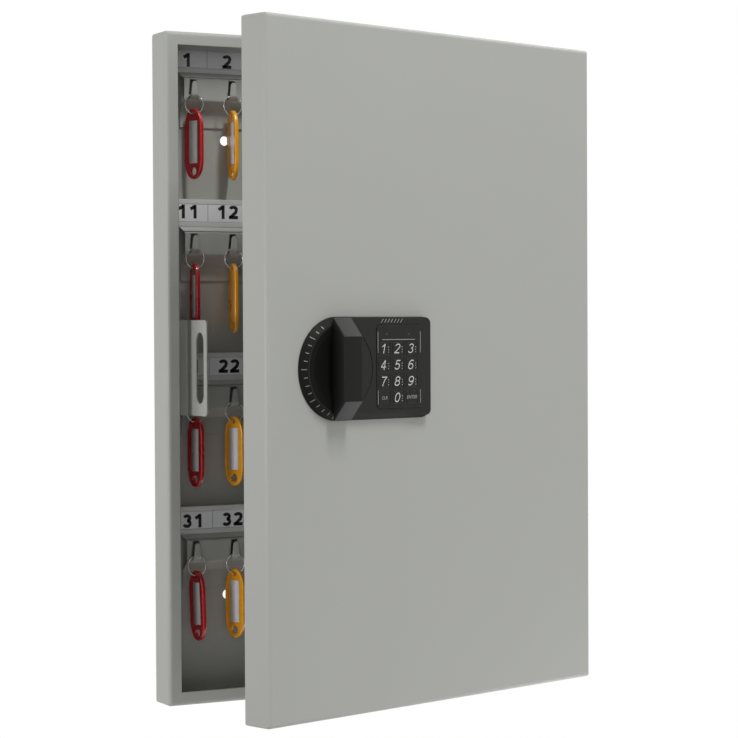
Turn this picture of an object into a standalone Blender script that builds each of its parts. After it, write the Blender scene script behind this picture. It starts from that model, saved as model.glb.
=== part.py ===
"""Wall cabinet for keys: sheet-metal body with hook rails, and a door with a knob and keypad lock.

Sizes and points are in millimetres, with the door closed: X to the right, Y into the wall, Z up,
from the middle of the back. The door is turned open at the end.
"""

import math

import bmesh
import bpy
from mathutils import Matrix, Vector
from mathutils.geometry import tessellate_polygon

MM = 0.001

# Clearances
FIT = 0.3
RUNNING = 0.4

# Cabinet body and door
CABINET_W = 380.0
CABINET_H = 550.0
BODY_D = 30.0
DOOR_D = 29.5
SEAM = 0.5
SHEET = 1.0
BEND_R = 3.0
BEND_STEPS = 3
CORNER_R = 2.0
BODY_LIP = 11.0
DOOR_LIP = 10.0
OPEN_DEG = 16.5
WALL_HOLE_R = 4.0
WALL_HOLE_INSET_X = 65.0
WALL_HOLE_INSET_Z = 85.5

# Hinges
HINGE_INSET = 105.0
HINGE_L = 60.0
LEAF_W = 22.0
LEAF_T = 1.5
BARREL_R = 3.7
PIN_R = 1.6
PIN_PLAY = 0.15
PIN_HEAD_R = 3.0
PIN_HEAD_L = 1.6

# Hook rails, measured from the middle of the row's label
ROW_TOP_INSET = 19.5
ROW_PITCH = 127.0
ROW_ROOM = 110.0
RAIL_SHEET = 0.8
RAIL_BEND_R = 1.5
LABEL_H = 22.7
LABEL_INSET = 8.0
LABEL_STAND = 6.0
LABEL_T = 1.8
LABEL_LIP = 4.0
LABEL_LIP_T = 0.6
HOOK_STAND = 11.0
HOOK_FACE_TOP = -16.4
HOOK_FACE_BOTTOM = -34.4
FLANGE_TOP = -42.0
FLANGE_BOTTOM = -56.2
RAIL_INSET = 24.5
RAIL_SLANT = 3.0
HOOK_PITCH = 35.0
HOOK_END = 8.0
HOOK_ROOT = -33.2
HOOK_L = 14.6
HOOK_W = 7.2
HOOK_TIP_W = 4.6
HOOK_STEP = 3.6
HOOK_RISE = 2.8
HOOK_SLIT = 0.5
HOOK_TIP_SLIT = 1.4

# Key tags and their rings
TAG_COLUMNS = 2
TAG_ROWS = 4
RING_R = 8.1
WIRE_R = 0.5
RING_PLAY = 0.95
TAG_W = 20.0
TAG_L = 58.0
TAG_T = 3.6
TAG_EDGE = 0.7
TAG_TAPER_L = 16.0
TAG_BAR = 2.8
TAG_EYE_R = 2.6
TAG_HOLE_R = 3.4
TAG_HOLE_INSET = 6.6
TAG_WINDOW = (10.0, 35.5)
TAG_WINDOW_INSET = 9.6
TAG_WINDOW_DEPTH = 0.7
TAG_YAW_DEG = ((-70.0, -94.0), (-98.0, -99.0), (-78.0, -65.0), (-80.0, -65.0))
TAG_TILT_DEG = ((0.0, 0.0), (0.0, 0.0), (0.0, 0.0), (-3.0, 0.0))

# Strike bracket on the left wall
STRIKE_INSET = 23.7
STRIKE_SHEET = 1.5
STRIKE_BEND_R = 2.2
STRIKE_H = 78.0
STRIKE_ROOT_Y = -4.0
STRIKE_LEG_Y = -18.2
STRIKE_TIP_Y = -56.5
STRIKE_TIP_R = 4.0
STRIKE_SLOT_H = 58.0

# Lock housing and knob
LOCK_Z = 1.0
KNOB_INSET = 73.0
HOUSING_R = 41.0
HOUSING_L = 101.0
HOUSING_T = 5.7
HOUSING_CORNER_R = 6.0
HOUSING_FLOOR = 0.8
KNOB_R = 33.8
KNOB_RIM_W = 1.4
KNOB_RIM_DROP = 0.4
KNOB_DISH_R = 12.0
KNOB_DISH_T = 1.4
GRIP_W = 20.0
GRIP_L = 81.0
GRIP_FRONT_L = 51.0
GRIP_PROUD = 20.0
GRIP_FOOT_L = 62.0
GRIP_EDGE = 1.3
SPINDLE_R = 4.0
SPINDLE_GRIP = 10.0

# Keypad
KEY_PITCH = (15.5, 13.1)
KEY_SIZE = (12.4, 10.0)
KEY_R = 1.2
KEY_MIDDLE = (62.8, -4.25)
KEY_PROUD = 0.1
KEY_T = 2.7
PANEL_SIZE = (52.0, 67.0)
PANEL_MIDDLE = (64.8, 1.0)
PANEL_R = 4.0
PANEL_T = 0.8
PANEL_SINK = 0.5
KEY_EDGE = 3.0
BOARD_T = 1.2
KEY_NAMES = ("1", "2", "3", "4", "5", "6", "7", "8", "9", "clear", "0", "enter")

# Lock works behind the door
BOLT_T = 9.0
BOLT_H = 44.0
BOLT_HEAD_L = 36.0
BOLT_TAIL_H = 23.0
BOLT_TAIL_L = 26.0
BOLT_NOTCH = (6.6, 5.0)
CAM_T = 4.5
CAM_R = 8.0
CAM_ARM = 9.0
CAM_ARM_DEG = 45.0
CAM_TIP_R = 4.5
CAM_PIN_R = 2.0
YOKE_PLAY = 0.45
CASE_WALL = 1.5
CASE_L = 132.5
CASE_H = 86.0
CASE_DEPTH = 25.2
CASE_FLANGE_H = 102.0
CASE_GAP = 3.3
BATTERY_R = 7.2
BATTERY_L = 50.5
BATTERY_PITCH = 15.2
BATTERIES = 4
TRAY_T = 8.0
TRAY_END = 1.7
COVER_T = 1.2
COVER_LAP = 3.0
SOLENOID_SIZE = (27.0, 13.5, 13.0)
SOLENOID_PIN_R = 2.5

# Places worked out from the sizes above
SEAM_Y = -BODY_D - SEAM / 2
DOOR_REAR_Y = -BODY_D - SEAM
DOOR_FRONT_Y = DOOR_REAR_Y - DOOR_D
SKIN_Y = DOOR_FRONT_Y + SHEET
LEFT_X = -CABINET_W / 2
AXIS_X = CABINET_W / 2 + FIT + BARREL_R
KNOB_X = LEFT_X + KNOB_INSET
HOUSING_BACK_Y = DOOR_FRONT_Y - FIT
HOUSING_FRONT_Y = HOUSING_BACK_Y - HOUSING_T
HOUSING_FLOOR_Y = HOUSING_BACK_Y - HOUSING_FLOOR
PANEL_BACK_Y = HOUSING_FRONT_Y + PANEL_SINK
PANEL_FRONT_Y = PANEL_BACK_Y - PANEL_T
STRIKE_X = LEFT_X + STRIKE_INSET
CASE_LEFT_X = STRIKE_X + STRIKE_SHEET / 2 + CASE_GAP
CASE_FRONT_Y = SKIN_Y + FIT
CASE_BACK_Y = CASE_FRONT_Y + CASE_DEPTH
STRIKE_SLOT_Y = (STRIKE_TIP_Y + 5.7, STRIKE_TIP_Y + 21.6)
BOLT_Y = sum(STRIKE_SLOT_Y) / 2
CAM_BACK_Y = BOLT_Y - BOLT_T / 2 - 3.3
FLANGE_Y = -SHEET - FIT - RAIL_SHEET / 2
RING_Y = -HOOK_STAND - HOOK_STEP / 2
HOOK_SLOPE = math.atan2(HOOK_RISE, HOOK_STEP)
RING_HANG = HOOK_RISE / 2 + (RAIL_SHEET / 2 + WIRE_R + RING_PLAY) / math.cos(HOOK_SLOPE)
RAIL_L = CABINET_W - 2 * RAIL_INSET
HOOKS = int((RAIL_L - 2 * HOOK_END) / HOOK_PITCH) + 1
ROWS = int((CABINET_H - ROW_TOP_INSET - ROW_ROOM) / ROW_PITCH) + 1


def along_x(u, v, w):
    return Vector((w, u, v))


def along_y(u, v, w):
    return Vector((u, w, v))


def along_z(u, v, w):
    return Vector((u, v, w))


def arc(cx, cy, radius, start, stop, steps):
    """Points of an arc between two angles in degrees."""
    angles = [math.radians(start + (stop - start) * i / steps) for i in range(steps + 1)]
    return [(cx + radius * math.cos(a), cy + radius * math.sin(a)) for a in angles]


def circle(cx, cy, radius, steps):
    return arc(cx, cy, radius, 0, 360 * (steps - 1) / steps, steps - 1)


def rounded(cx, cy, width, height, radius, steps=2):
    """A rectangle with round corners, from its middle and its sizes."""
    x, y = width / 2 - radius, height / 2 - radius
    corners = ((x, y, 0), (-x, y, 90), (-x, -y, 180), (x, -y, 270))
    return [p for dx, dy, a in corners for p in arc(cx + dx, cy + dy, radius, a, a + 90, steps)]


def box_outline(left, right, low, high):
    return [(left, low), (right, low), (right, high), (left, high)]


def rounded_path(points, radius, steps=2):
    """An open path whose corners are turned into arcs."""
    path = [Vector(points[0])]
    for before, corner, after in zip(points, points[1:], points[2:]):
        here = Vector(corner)
        back = (Vector(before) - here).normalized()
        ahead = (Vector(after) - here).normalized()
        half = back.angle(ahead) / 2
        centre = here + (back + ahead).normalized() * radius / math.sin(half)
        first = here + back * radius / math.tan(half) - centre
        last = here + ahead * radius / math.tan(half) - centre
        start = math.atan2(first.y, first.x)
        turn = (math.atan2(last.y, last.x) - start + math.pi) % (2 * math.pi) - math.pi
        stop = math.degrees(start + turn)
        path += [Vector(p) for p in arc(*centre, radius, math.degrees(start), stop, steps)]
    return path + [Vector(points[-1])]


def sheet_outline(path, thickness):
    """The outline of a bent sheet whose middle follows an open path."""
    left, right = [], []
    legs = [after - before for before, after in zip(path, path[1:])]
    normals = [Vector((-leg.y, leg.x)).normalized() for leg in legs]
    for point, before, after in zip(path, normals[:1] + normals, normals + normals[-1:]):
        normal = (before + after).normalized()
        reach = normal * thickness / 2 / normal.dot(before)
        left.append(tuple(point + reach))
        right.append(tuple(point - reach))
    return left + right[::-1]


def closed_body(shape):
    bmesh.ops.recalc_face_normals(shape, faces=shape.faces)
    return shape


def prism(outline, low, high, place, holes=()):
    """A flat outline, with holes, drawn out from low to high."""
    rings = [[Vector((*p, 0)) for p in ring] for ring in (outline, *holes)]
    points = [p for ring in rings for p in ring]
    shape = bmesh.new()
    bottom = [shape.verts.new(place(p.x, p.y, low)) for p in points]
    top = [shape.verts.new(place(p.x, p.y, high)) for p in points]
    for a, b, c in tessellate_polygon(rings):
        shape.faces.new((bottom[a], bottom[b], bottom[c]))
        shape.faces.new((top[c], top[b], top[a]))
    start = 0
    for ring in rings:
        for i in range(len(ring)):
            a, b = start + i, start + (i + 1) % len(ring)
            shape.faces.new((bottom[a], bottom[b], top[b], top[a]))
        start += len(ring)
    return closed_body(shape)


def loft(loops, ring=False):
    """A body through loops of one count. Its end loops are filled, or joined into a ring."""
    shape = bmesh.new()
    rows = [[shape.verts.new(p) for p in loop] for loop in loops]
    for row, following in zip(rows, rows[1:] + rows[:1] * ring):
        for i in range(len(row)):
            j = (i + 1) % len(row)
            shape.faces.new((row[i], row[j], following[j], following[i]))
    if not ring:
        shape.faces.new(rows[0])
        shape.faces.new(rows[-1])
    return closed_body(shape)


def turned(profile, cx, cz, steps, ring=False):
    """A profile of (radius, y) points, turned about an axis along Y."""
    return loft([[along_y(*p, y) for p in circle(cx, cz, r, steps)] for r, y in profile], ring)


def gathered(shapes):
    """Several bodies in one mesh, for cutting or joining at once."""
    whole = bmesh.new()
    for shape in shapes:
        part = bpy.data.meshes.new("part")
        shape.to_mesh(part)
        whole.from_mesh(part)
        bpy.data.meshes.remove(part)
    return whole


def work_object(shape):
    mesh = bpy.data.meshes.new("work")
    shape.to_mesh(mesh)
    obj = bpy.data.objects.new("work", mesh)
    bpy.context.scene.collection.objects.link(obj)
    return obj


def combined(shape, others, operation):
    """The Boolean of a body with a list of others that don't touch each other."""
    first = work_object(shape)
    second = work_object(gathered(others))
    modifier = first.modifiers.new("combine", "BOOLEAN")
    modifier.operation = operation
    modifier.object = second
    result = bmesh.new()
    result.from_object(first, bpy.context.evaluated_depsgraph_get())
    for obj in (first, second):
        mesh = obj.data
        bpy.data.objects.remove(obj)
        bpy.data.meshes.remove(mesh)
    return result


def material(name, colour, roughness, metallic=0.0):
    made = bpy.data.materials.new(name)
    made.use_nodes = True
    shader = made.node_tree.nodes["Principled BSDF"]
    shader.inputs["Base Color"].default_value = (*colour, 1)
    shader.inputs["Roughness"].default_value = roughness
    shader.inputs["Metallic"].default_value = metallic
    made.diffuse_color = (*colour, 1)
    return made


def mesh_of(name, shape, finish, origin=(0, 0, 0)):
    """A mesh in metres about its own origin."""
    shape.transform(Matrix.Scale(MM, 4) @ Matrix.Translation(-Vector(origin)))
    mesh = bpy.data.meshes.new(name)
    shape.to_mesh(mesh)
    mesh.materials.append(finish)
    mesh.shade_smooth()
    mesh.set_sharp_from_angle(angle=math.radians(35))
    return mesh


def placed(name, data, origin, parent, parent_origin, turn=(0, 0, 0)):
    obj = bpy.data.objects.new(name, data)
    bpy.context.scene.collection.objects.link(obj)
    obj.parent = parent
    obj.location = (Vector(origin) - Vector(parent_origin)) * MM
    obj.rotation_euler = [math.radians(a) for a in turn]
    return obj


class Carrier:
    """An empty that carries the pieces of one moving body. Its own point is on the body's axis."""

    def __init__(self, name, origin=(0, 0, 0), parent=None):
        above = (parent.empty, parent.origin) if parent else (None, (0, 0, 0))
        self.origin = origin
        self.empty = placed(name, None, origin, *above)

    def add(self, name, shape, finish, origin=None):
        """A piece drawn where it sits in the closed cabinet."""
        origin = origin or self.origin
        return placed(name, mesh_of(name, shape, finish, origin), origin, self.empty, self.origin)

    def hang(self, name, mesh, origin, turn=(0, 0, 0)):
        """A copy of a shared mesh."""
        return placed(name, mesh, origin, self.empty, self.origin, turn)


def tray(skin_y, rim_y, lip):
    """A folded tray: a flat skin, walls, and a lip turned in round the mouth."""
    into = 1 if rim_y > skin_y else -1
    inner_r = BEND_R - SHEET

    def bend(edge_y, towards, radius, start, stop):
        points = arc(BEND_R, 0, radius, start, stop, BEND_STEPS)
        return [(d, edge_y + towards * (BEND_R - rise)) for d, rise in points]

    profile = bend(skin_y, into, BEND_R, 90, 180)
    profile += bend(rim_y, -into, BEND_R, 180, 90)
    profile += [(lip, rim_y), (lip, rim_y - into * SHEET)]
    profile += bend(rim_y, -into, inner_r, 90, 180)
    profile += bend(skin_y, into, inner_r, 180, 90)
    loops = []
    for inset, y in profile:
        width, height = CABINET_W - 2 * inset, CABINET_H - 2 * inset
        corner = max(CORNER_R - inset, 0.3)
        loops.append([along_y(*p, y) for p in rounded(0, 0, width, height, corner)])
    return loft(loops)


def cabinet_body():
    holes = []
    for side in (-1, 1):
        for level in (-1, 1):
            x = side * (CABINET_W / 2 - WALL_HOLE_INSET_X)
            z = level * (CABINET_H / 2 - WALL_HOLE_INSET_Z)
            holes.append(prism(circle(x, z, WALL_HOLE_R, 16), -2 * SHEET, SHEET, along_y))
    return combined(tray(0, -BODY_D, BODY_LIP), holes, "DIFFERENCE")


def door_panel():
    spindle_hole = circle(KNOB_X, LOCK_Z, SPINDLE_R + 1, 16)
    cable_hole = rounded(KNOB_X + PANEL_MIDDLE[0], LOCK_Z, 14, 6, 2.5)
    cuts = [prism(o, DOOR_FRONT_Y - SHEET, SKIN_Y + SHEET, along_y) for o in (spindle_hole, cable_hole)]
    return combined(tray(DOOR_FRONT_Y, DOOR_REAR_Y, DOOR_LIP), cuts, "DIFFERENCE")


def hinge_leaf(z, side, knuckles):
    """A leaf that lies on a side wall, behind the seam for side 1 and in front of it for side -1."""
    third = HINGE_L / 3
    cut = BARREL_R + RUNNING
    spans = [(z + third * (k - 1.5) + RUNNING / 2, z + third * (k - 0.5) - RUNNING / 2) for k in knuckles]
    far = SEAM_Y + side * LEAF_W
    plate = prism(
        box_outline(*sorted((SEAM_Y + side * cut, far)), z - HINGE_L / 2, z + HINGE_L / 2),
        CABINET_W / 2 + FIT,
        CABINET_W / 2 + FIT + LEAF_T,
        along_x,
    )
    outer = circle(AXIS_X, SEAM_Y, BARREL_R, 16)
    bore = circle(AXIS_X, SEAM_Y, PIN_R + PIN_PLAY, 12)
    barrels = [prism(outer, low, high, along_z, [bore]) for low, high in spans]
    straps = [
        prism(
            box_outline(*sorted((SEAM_Y + side * 0.4, SEAM_Y + side * (cut + 1))), low, high),
            CABINET_W / 2 + FIT + 0.05,
            CABINET_W / 2 + FIT + LEAF_T - 0.05,
            along_x,
        )
        for low, high in spans
    ]
    return combined(combined(plate, straps, "UNION"), barrels, "UNION")


def hinge_pin(z):
    top = z + HINGE_L / 2
    sections = (
        (PIN_R - 0.4, z - HINGE_L / 2 - 0.8),
        (PIN_R, z - HINGE_L / 2 - 0.2),
        (PIN_R, top + FIT),
        (PIN_HEAD_R, top + FIT),
        (PIN_HEAD_R, top + FIT + PIN_HEAD_L * 0.6),
        (PIN_HEAD_R - 1, top + FIT + PIN_HEAD_L),
    )
    return loft([[along_z(*p, h) for p in circle(AXIS_X, SEAM_Y, r, 12)] for r, h in sections])


def hook_places():
    return [(k - (HOOKS - 1) / 2) * HOOK_PITCH for k in range(HOOKS)]


def row_height(row):
    return CABINET_H / 2 - ROW_TOP_INSET - row * ROW_PITCH


def hook_half_width(rise):
    """Half the tongue's width at a height above its root, where it narrows evenly to a round tip."""
    tip = HOOK_TIP_W / 2
    shoulder = HOOK_L - tip
    if rise < shoulder:
        return HOOK_W / 2 + (tip - HOOK_W / 2) * max(rise, 0) / shoulder
    return math.sqrt(max(tip**2 - (rise - shoulder) ** 2, 0.01))


def hook_tongue(x):
    """A strip that steps forward out of the hook face and rises to its tip, clear of the face."""
    tip = HOOK_TIP_W / 2
    front = -HOOK_STAND - HOOK_STEP
    shoulder = HOOK_ROOT + HOOK_L - tip
    corners = [(-HOOK_STAND, HOOK_ROOT), (front, HOOK_ROOT + HOOK_RISE), (front, shoulder)]
    path = rounded_path(corners, RAIL_BEND_R, 1)
    path[0] += (path[0] - path[1]).normalized() * RAIL_SHEET / 2
    path += [Vector((front, shoulder + tip * math.sin(math.radians(a)))) for a in (45, 90)]
    sides = sheet_outline(path, RAIL_SHEET)
    loops = []
    for middle, near, far in zip(path, sides[: len(path)], sides[: len(path) - 1 : -1]):
        half = hook_half_width(middle.y - HOOK_ROOT)
        section = ((near, -half), (near, half), (far, half), (far, -half))
        loops.append([along_x(*p, x + across) for p, across in section])
    return loft(loops)


def hook_rail():
    """A folded rail about the middle of its label, with a row of tongues cut and bent out of it."""
    path = rounded_path(
        [
            (FLANGE_Y, LABEL_H / 2),
            (-LABEL_STAND, LABEL_H / 2),
            (-LABEL_STAND, -LABEL_H / 2 - 1),
            (-HOOK_STAND, HOOK_FACE_TOP),
            (-HOOK_STAND, HOOK_FACE_BOTTOM),
            (FLANGE_Y, FLANGE_TOP),
            (FLANGE_Y, FLANGE_BOTTOM),
        ],
        RAIL_BEND_R,
    )
    half = CABINET_W / 2 - LABEL_INSET
    strip = prism(sheet_outline(path, RAIL_SHEET), -half, half, along_x)
    deep = (-HOOK_STAND - 2, 0)
    below, ledge, end = FLANGE_BOTTOM - 2, -LABEL_H / 2 - 1.5, RAIL_L / 2
    corner = [(end, below), (half + 2, below), (half + 2, ledge), (end + RAIL_SLANT, ledge), (end, HOOK_FACE_TOP)]
    cuts = [prism([(s * x, z) for x, z in corner[::s]], *deep, along_y) for s in (-1, 1)]
    top = HOOK_ROOT + HOOK_L + HOOK_TIP_SLIT
    wide, narrow = HOOK_W / 2 + HOOK_SLIT, HOOK_TIP_W / 2 + HOOK_SLIT
    for x in hook_places():
        window = [(x - wide, HOOK_ROOT), (x + wide, HOOK_ROOT), (x + narrow, top), (x - narrow, top)]
        cuts.append(prism(window, *deep, along_y))
    strip = combined(strip, cuts, "DIFFERENCE")
    return combined(strip, [hook_tongue(x) for x in hook_places()], "UNION")


def label_holder():
    """A channel whose two lips hold a paper card against the rail."""
    back = -LABEL_STAND - RAIL_SHEET / 2 - FIT
    front = back - LABEL_T
    inner = front + LABEL_LIP_T
    floor = back - LABEL_LIP_T
    high = LABEL_H / 2
    lip = high - LABEL_LIP
    wall = high - 1.2
    outline = [(back, -high), (back, high), (front, high), (front, lip), (inner, lip), (inner, wall)]
    outline += [(floor, wall), (floor, -wall), (inner, -wall), (inner, -lip), (front, -lip), (front, -high)]
    half = CABINET_W / 2 - LABEL_INSET
    return prism(outline, -half, half, along_x)


def strike_bracket():
    """A folded plate: a flange on the left wall, a leg across and a slotted tongue to the front."""
    wall_x = LEFT_X + SHEET + FIT + STRIKE_SHEET / 2
    corners = [
        (wall_x, STRIKE_ROOT_Y),
        (wall_x, STRIKE_LEG_Y),
        (STRIKE_X, STRIKE_LEG_Y),
        (STRIKE_X, STRIKE_TIP_Y),
    ]
    outline = sheet_outline(rounded_path(corners, STRIKE_BEND_R, 3), STRIKE_SHEET)
    low, high = LOCK_Z - STRIKE_H / 2, LOCK_Z + STRIKE_H / 2
    plate = prism(outline, low, high, along_z)
    width = STRIKE_SLOT_Y[1] - STRIKE_SLOT_Y[0]
    slot = rounded(sum(STRIKE_SLOT_Y) / 2, LOCK_Z, width, STRIKE_SLOT_H, width / 2 - 0.2, 5)
    across = (STRIKE_X - 2 * STRIKE_SHEET, STRIKE_X + 2 * STRIKE_SHEET)
    cuts = [prism(slot, *across, along_x)]
    for edge, side in ((low, -1), (high, 1)):
        inner = edge - side * STRIKE_TIP_R
        corner = arc(STRIKE_TIP_Y + STRIKE_TIP_R, inner, STRIKE_TIP_R, 180, 180 - 90 * side, 4)
        corner += [(STRIKE_TIP_Y + STRIKE_TIP_R, edge + side), (STRIKE_TIP_Y - 1, edge + side)]
        cuts.append(prism(corner + [(STRIKE_TIP_Y - 1, inner)], *across, along_x))
    return combined(plate, cuts, "DIFFERENCE")


def housing_outline(inset):
    """Round about the knob at the left, square with round corners at the right."""
    corner = HOUSING_CORNER_R - inset
    right = KNOB_X + HOUSING_L - HOUSING_CORNER_R
    reach = HOUSING_R - HOUSING_CORNER_R
    outline = arc(KNOB_X, LOCK_Z, HOUSING_R - inset, 90, 270, 24)
    outline += arc(right, LOCK_Z - reach, corner, 270, 360, 4)
    return outline + arc(right, LOCK_Z + reach, corner, 0, 90, 4)


def panel_outline(inset):
    middle = (KNOB_X + PANEL_MIDDLE[0], LOCK_Z + PANEL_MIDDLE[1])
    size = (PANEL_SIZE[0] - 2 * inset, PANEL_SIZE[1] - 2 * inset)
    return rounded(*middle, *size, PANEL_R - inset, 3)


def key_places():
    for row in range(4):
        for column in range(3):
            x = KNOB_X + KEY_MIDDLE[0] + (column - 1) * KEY_PITCH[0]
            yield x, LOCK_Z + KEY_MIDDLE[1] + (1.5 - row) * KEY_PITCH[1]


def key_field(inset):
    """The outline round all the keys, drawn in by the inset from the keypad's room."""
    width = 2 * KEY_PITCH[0] + KEY_SIZE[0] + KEY_EDGE - 2 * inset
    height = 3 * KEY_PITCH[1] + KEY_SIZE[1] + KEY_EDGE - 2 * inset
    return rounded(KNOB_X + KEY_MIDDLE[0], LOCK_Z + KEY_MIDDLE[1], width, height, 1.5)


def lock_housing():
    levels = ((0, 0), (0, HOUSING_T - 1.1), (0.35, HOUSING_T - 0.4), (1.1, HOUSING_T))
    loops = [[along_y(*p, HOUSING_BACK_Y - rise) for p in housing_outline(inset)] for inset, rise in levels]
    above = HOUSING_FRONT_Y - 1
    pocket = prism(circle(KNOB_X, LOCK_Z, KNOB_R + RUNNING + 0.1, 40), above, HOUSING_FLOOR_Y, along_y)
    seat = prism(panel_outline(-FIT), above, PANEL_BACK_Y + FIT, along_y)
    shape = combined(loft(loops), [pocket, seat], "DIFFERENCE")
    through = HOUSING_BACK_Y + 1
    room = prism(key_field(0), above, HOUSING_FLOOR_Y, along_y)
    spindle_hole = prism(circle(KNOB_X, LOCK_Z, SPINDLE_R + RUNNING, 16), above, through, along_y)
    return combined(shape, [room, spindle_hole], "DIFFERENCE")


def keypad_panel():
    size = (KEY_SIZE[0] + 2 * FIT, KEY_SIZE[1] + 2 * FIT)
    windows = [rounded(x, z, *size, KEY_R + FIT) for x, z in key_places()]
    return prism(panel_outline(0), PANEL_FRONT_Y, PANEL_BACK_Y, along_y, windows)


def key_cap(x, z):
    front = PANEL_FRONT_Y - KEY_PROUD
    levels = ((0, front + KEY_T), (0, front + 0.2), (0.25, front))
    loops = []
    for inset, y in levels:
        outline = rounded(x, z, KEY_SIZE[0] - 2 * inset, KEY_SIZE[1] - 2 * inset, KEY_R - inset)
        loops.append([along_y(*p, y) for p in outline])
    return loft(loops)


def circuit_board():
    back = HOUSING_FLOOR_Y - FIT
    return prism(key_field(FIT), back - BOARD_T, back, along_y)


def knob():
    """A dished skirt with a bar across it, whose ends slope down over the housing's rim."""
    rim_y = HOUSING_FRONT_Y + KNOB_RIM_DROP
    back_y = HOUSING_FLOOR_Y - RUNNING
    bore = SPINDLE_R + FIT
    dish_y = back_y - KNOB_DISH_T
    fall = [(KNOB_DISH_R, dish_y), (KNOB_R * 0.66, dish_y - 0.7), (KNOB_R - KNOB_RIM_W, rim_y)]
    profile = [(bore, back_y), (bore, dish_y), *fall, (KNOB_R, rim_y), (KNOB_R, back_y)]
    skirt = turned(profile, KNOB_X, LOCK_Z, 40, ring=True)
    front = DOOR_FRONT_Y - GRIP_PROUD
    under = PANEL_FRONT_Y - KEY_PROUD - RUNNING
    side = [(GRIP_FRONT_L / 2, front), (GRIP_L / 2, under), (GRIP_FOOT_L / 2, under)]
    side.append((GRIP_FOOT_L / 2, back_y - KNOB_DISH_T / 2))
    outline = [(y, LOCK_Z + z) for z, y in side] + [(y, LOCK_Z - z) for z, y in side[::-1]]
    bar = prism(outline, KNOB_X - GRIP_W / 2, KNOB_X + GRIP_W / 2, along_x)
    bmesh.ops.dissolve_limit(bar, angle_limit=0.01, verts=bar.verts, edges=bar.edges)
    edges = [e for e in bar.edges if all(v.co.y < under + 0.01 for v in e.verts)]
    edges = [e for e in edges if any(v.co.y < front + 0.01 for v in e.verts)]
    bmesh.ops.bevel(bar, geom=edges, offset=GRIP_EDGE, segments=2, profile=0.5, affect="EDGES")
    seat = prism(circle(KNOB_X, LOCK_Z, bore, 16), back_y - SPINDLE_GRIP, back_y + 1, along_y)
    return combined(combined(skirt, [closed_body(bar)], "UNION"), [seat], "DIFFERENCE")


def spindle():
    front = HOUSING_FLOOR_Y - RUNNING - SPINDLE_GRIP + FIT
    return prism(circle(KNOB_X, LOCK_Z, SPINDLE_R, 16), front, CAM_BACK_Y, along_y)


def cam_pin_place():
    angle = math.radians(CAM_ARM_DEG)
    return KNOB_X + CAM_ARM * math.cos(angle), LOCK_Z + CAM_ARM * math.sin(angle)


def bolt_cam():
    """A plate on the spindle, with a pin that works in the bolt's yoke."""
    spread = math.degrees(math.acos((CAM_R - CAM_TIP_R) / CAM_ARM))
    pin = cam_pin_place()
    outline = arc(KNOB_X, LOCK_Z, CAM_R, CAM_ARM_DEG + spread, CAM_ARM_DEG + 360 - spread, 16)
    outline += arc(*pin, CAM_TIP_R, CAM_ARM_DEG - spread, CAM_ARM_DEG + spread, 8)
    hole = circle(KNOB_X, LOCK_Z, SPINDLE_R + FIT, 16)
    plate = prism(outline, CAM_BACK_Y - CAM_T, CAM_BACK_Y, along_y, [hole])
    drive = prism(circle(*pin, CAM_PIN_R, 12), CAM_BACK_Y - CAM_T / 2, BOLT_Y + BOLT_T / 2 - 1, along_y)
    return combined(plate, [drive], "UNION")


def lock_bolt():
    """A flat bolt with a yoke slot for the cam's pin and a notch for the solenoid's."""
    left = CASE_LEFT_X - 0.5
    middle = left + BOLT_HEAD_L
    low = LOCK_Z - BOLT_H / 2
    notch = middle - BOLT_NOTCH[0] - 3
    tail_low = LOCK_Z + CAM_ARM - BOLT_TAIL_H + 8
    outline = [(left, low), (notch, low), (notch, low + BOLT_NOTCH[1])]
    outline += [(notch + BOLT_NOTCH[0], low + BOLT_NOTCH[1]), (notch + BOLT_NOTCH[0], low), (middle, low)]
    outline += [(middle, tail_low), (middle + BOLT_TAIL_L, tail_low)]
    outline += [(middle + BOLT_TAIL_L, tail_low + BOLT_TAIL_H), (middle, tail_low + BOLT_TAIL_H)]
    outline += [(middle, LOCK_Z + BOLT_H / 2), (left, LOCK_Z + BOLT_H / 2)]
    pin_x = cam_pin_place()[0]
    half = CAM_PIN_R + YOKE_PLAY
    least = CAM_ARM * math.sin(math.radians(CAM_ARM_DEG))
    yoke = box_outline(pin_x - half, pin_x + half, LOCK_Z + least - half - 0.5, LOCK_Z + CAM_ARM + half + 0.5)
    return prism(outline, BOLT_Y - BOLT_T / 2, BOLT_Y + BOLT_T / 2, along_y, [yoke])


def tray_span():
    """The battery tray's ends along X, against the right wall of the lock case."""
    right = CASE_LEFT_X + CASE_L - CASE_WALL - FIT
    return right - BATTERY_L - 2 * FIT - 2 * TRAY_END, right


def battery_heights():
    return [LOCK_Z + (k - (BATTERIES - 1) / 2) * BATTERY_PITCH for k in range(BATTERIES)]


def battery_opening(margin):
    left, right = tray_span()
    reach = BATTERIES * BATTERY_PITCH / 2 + margin
    return box_outline(left + TRAY_END - margin, right - TRAY_END + margin, LOCK_Z - reach, LOCK_Z + reach)


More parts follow.
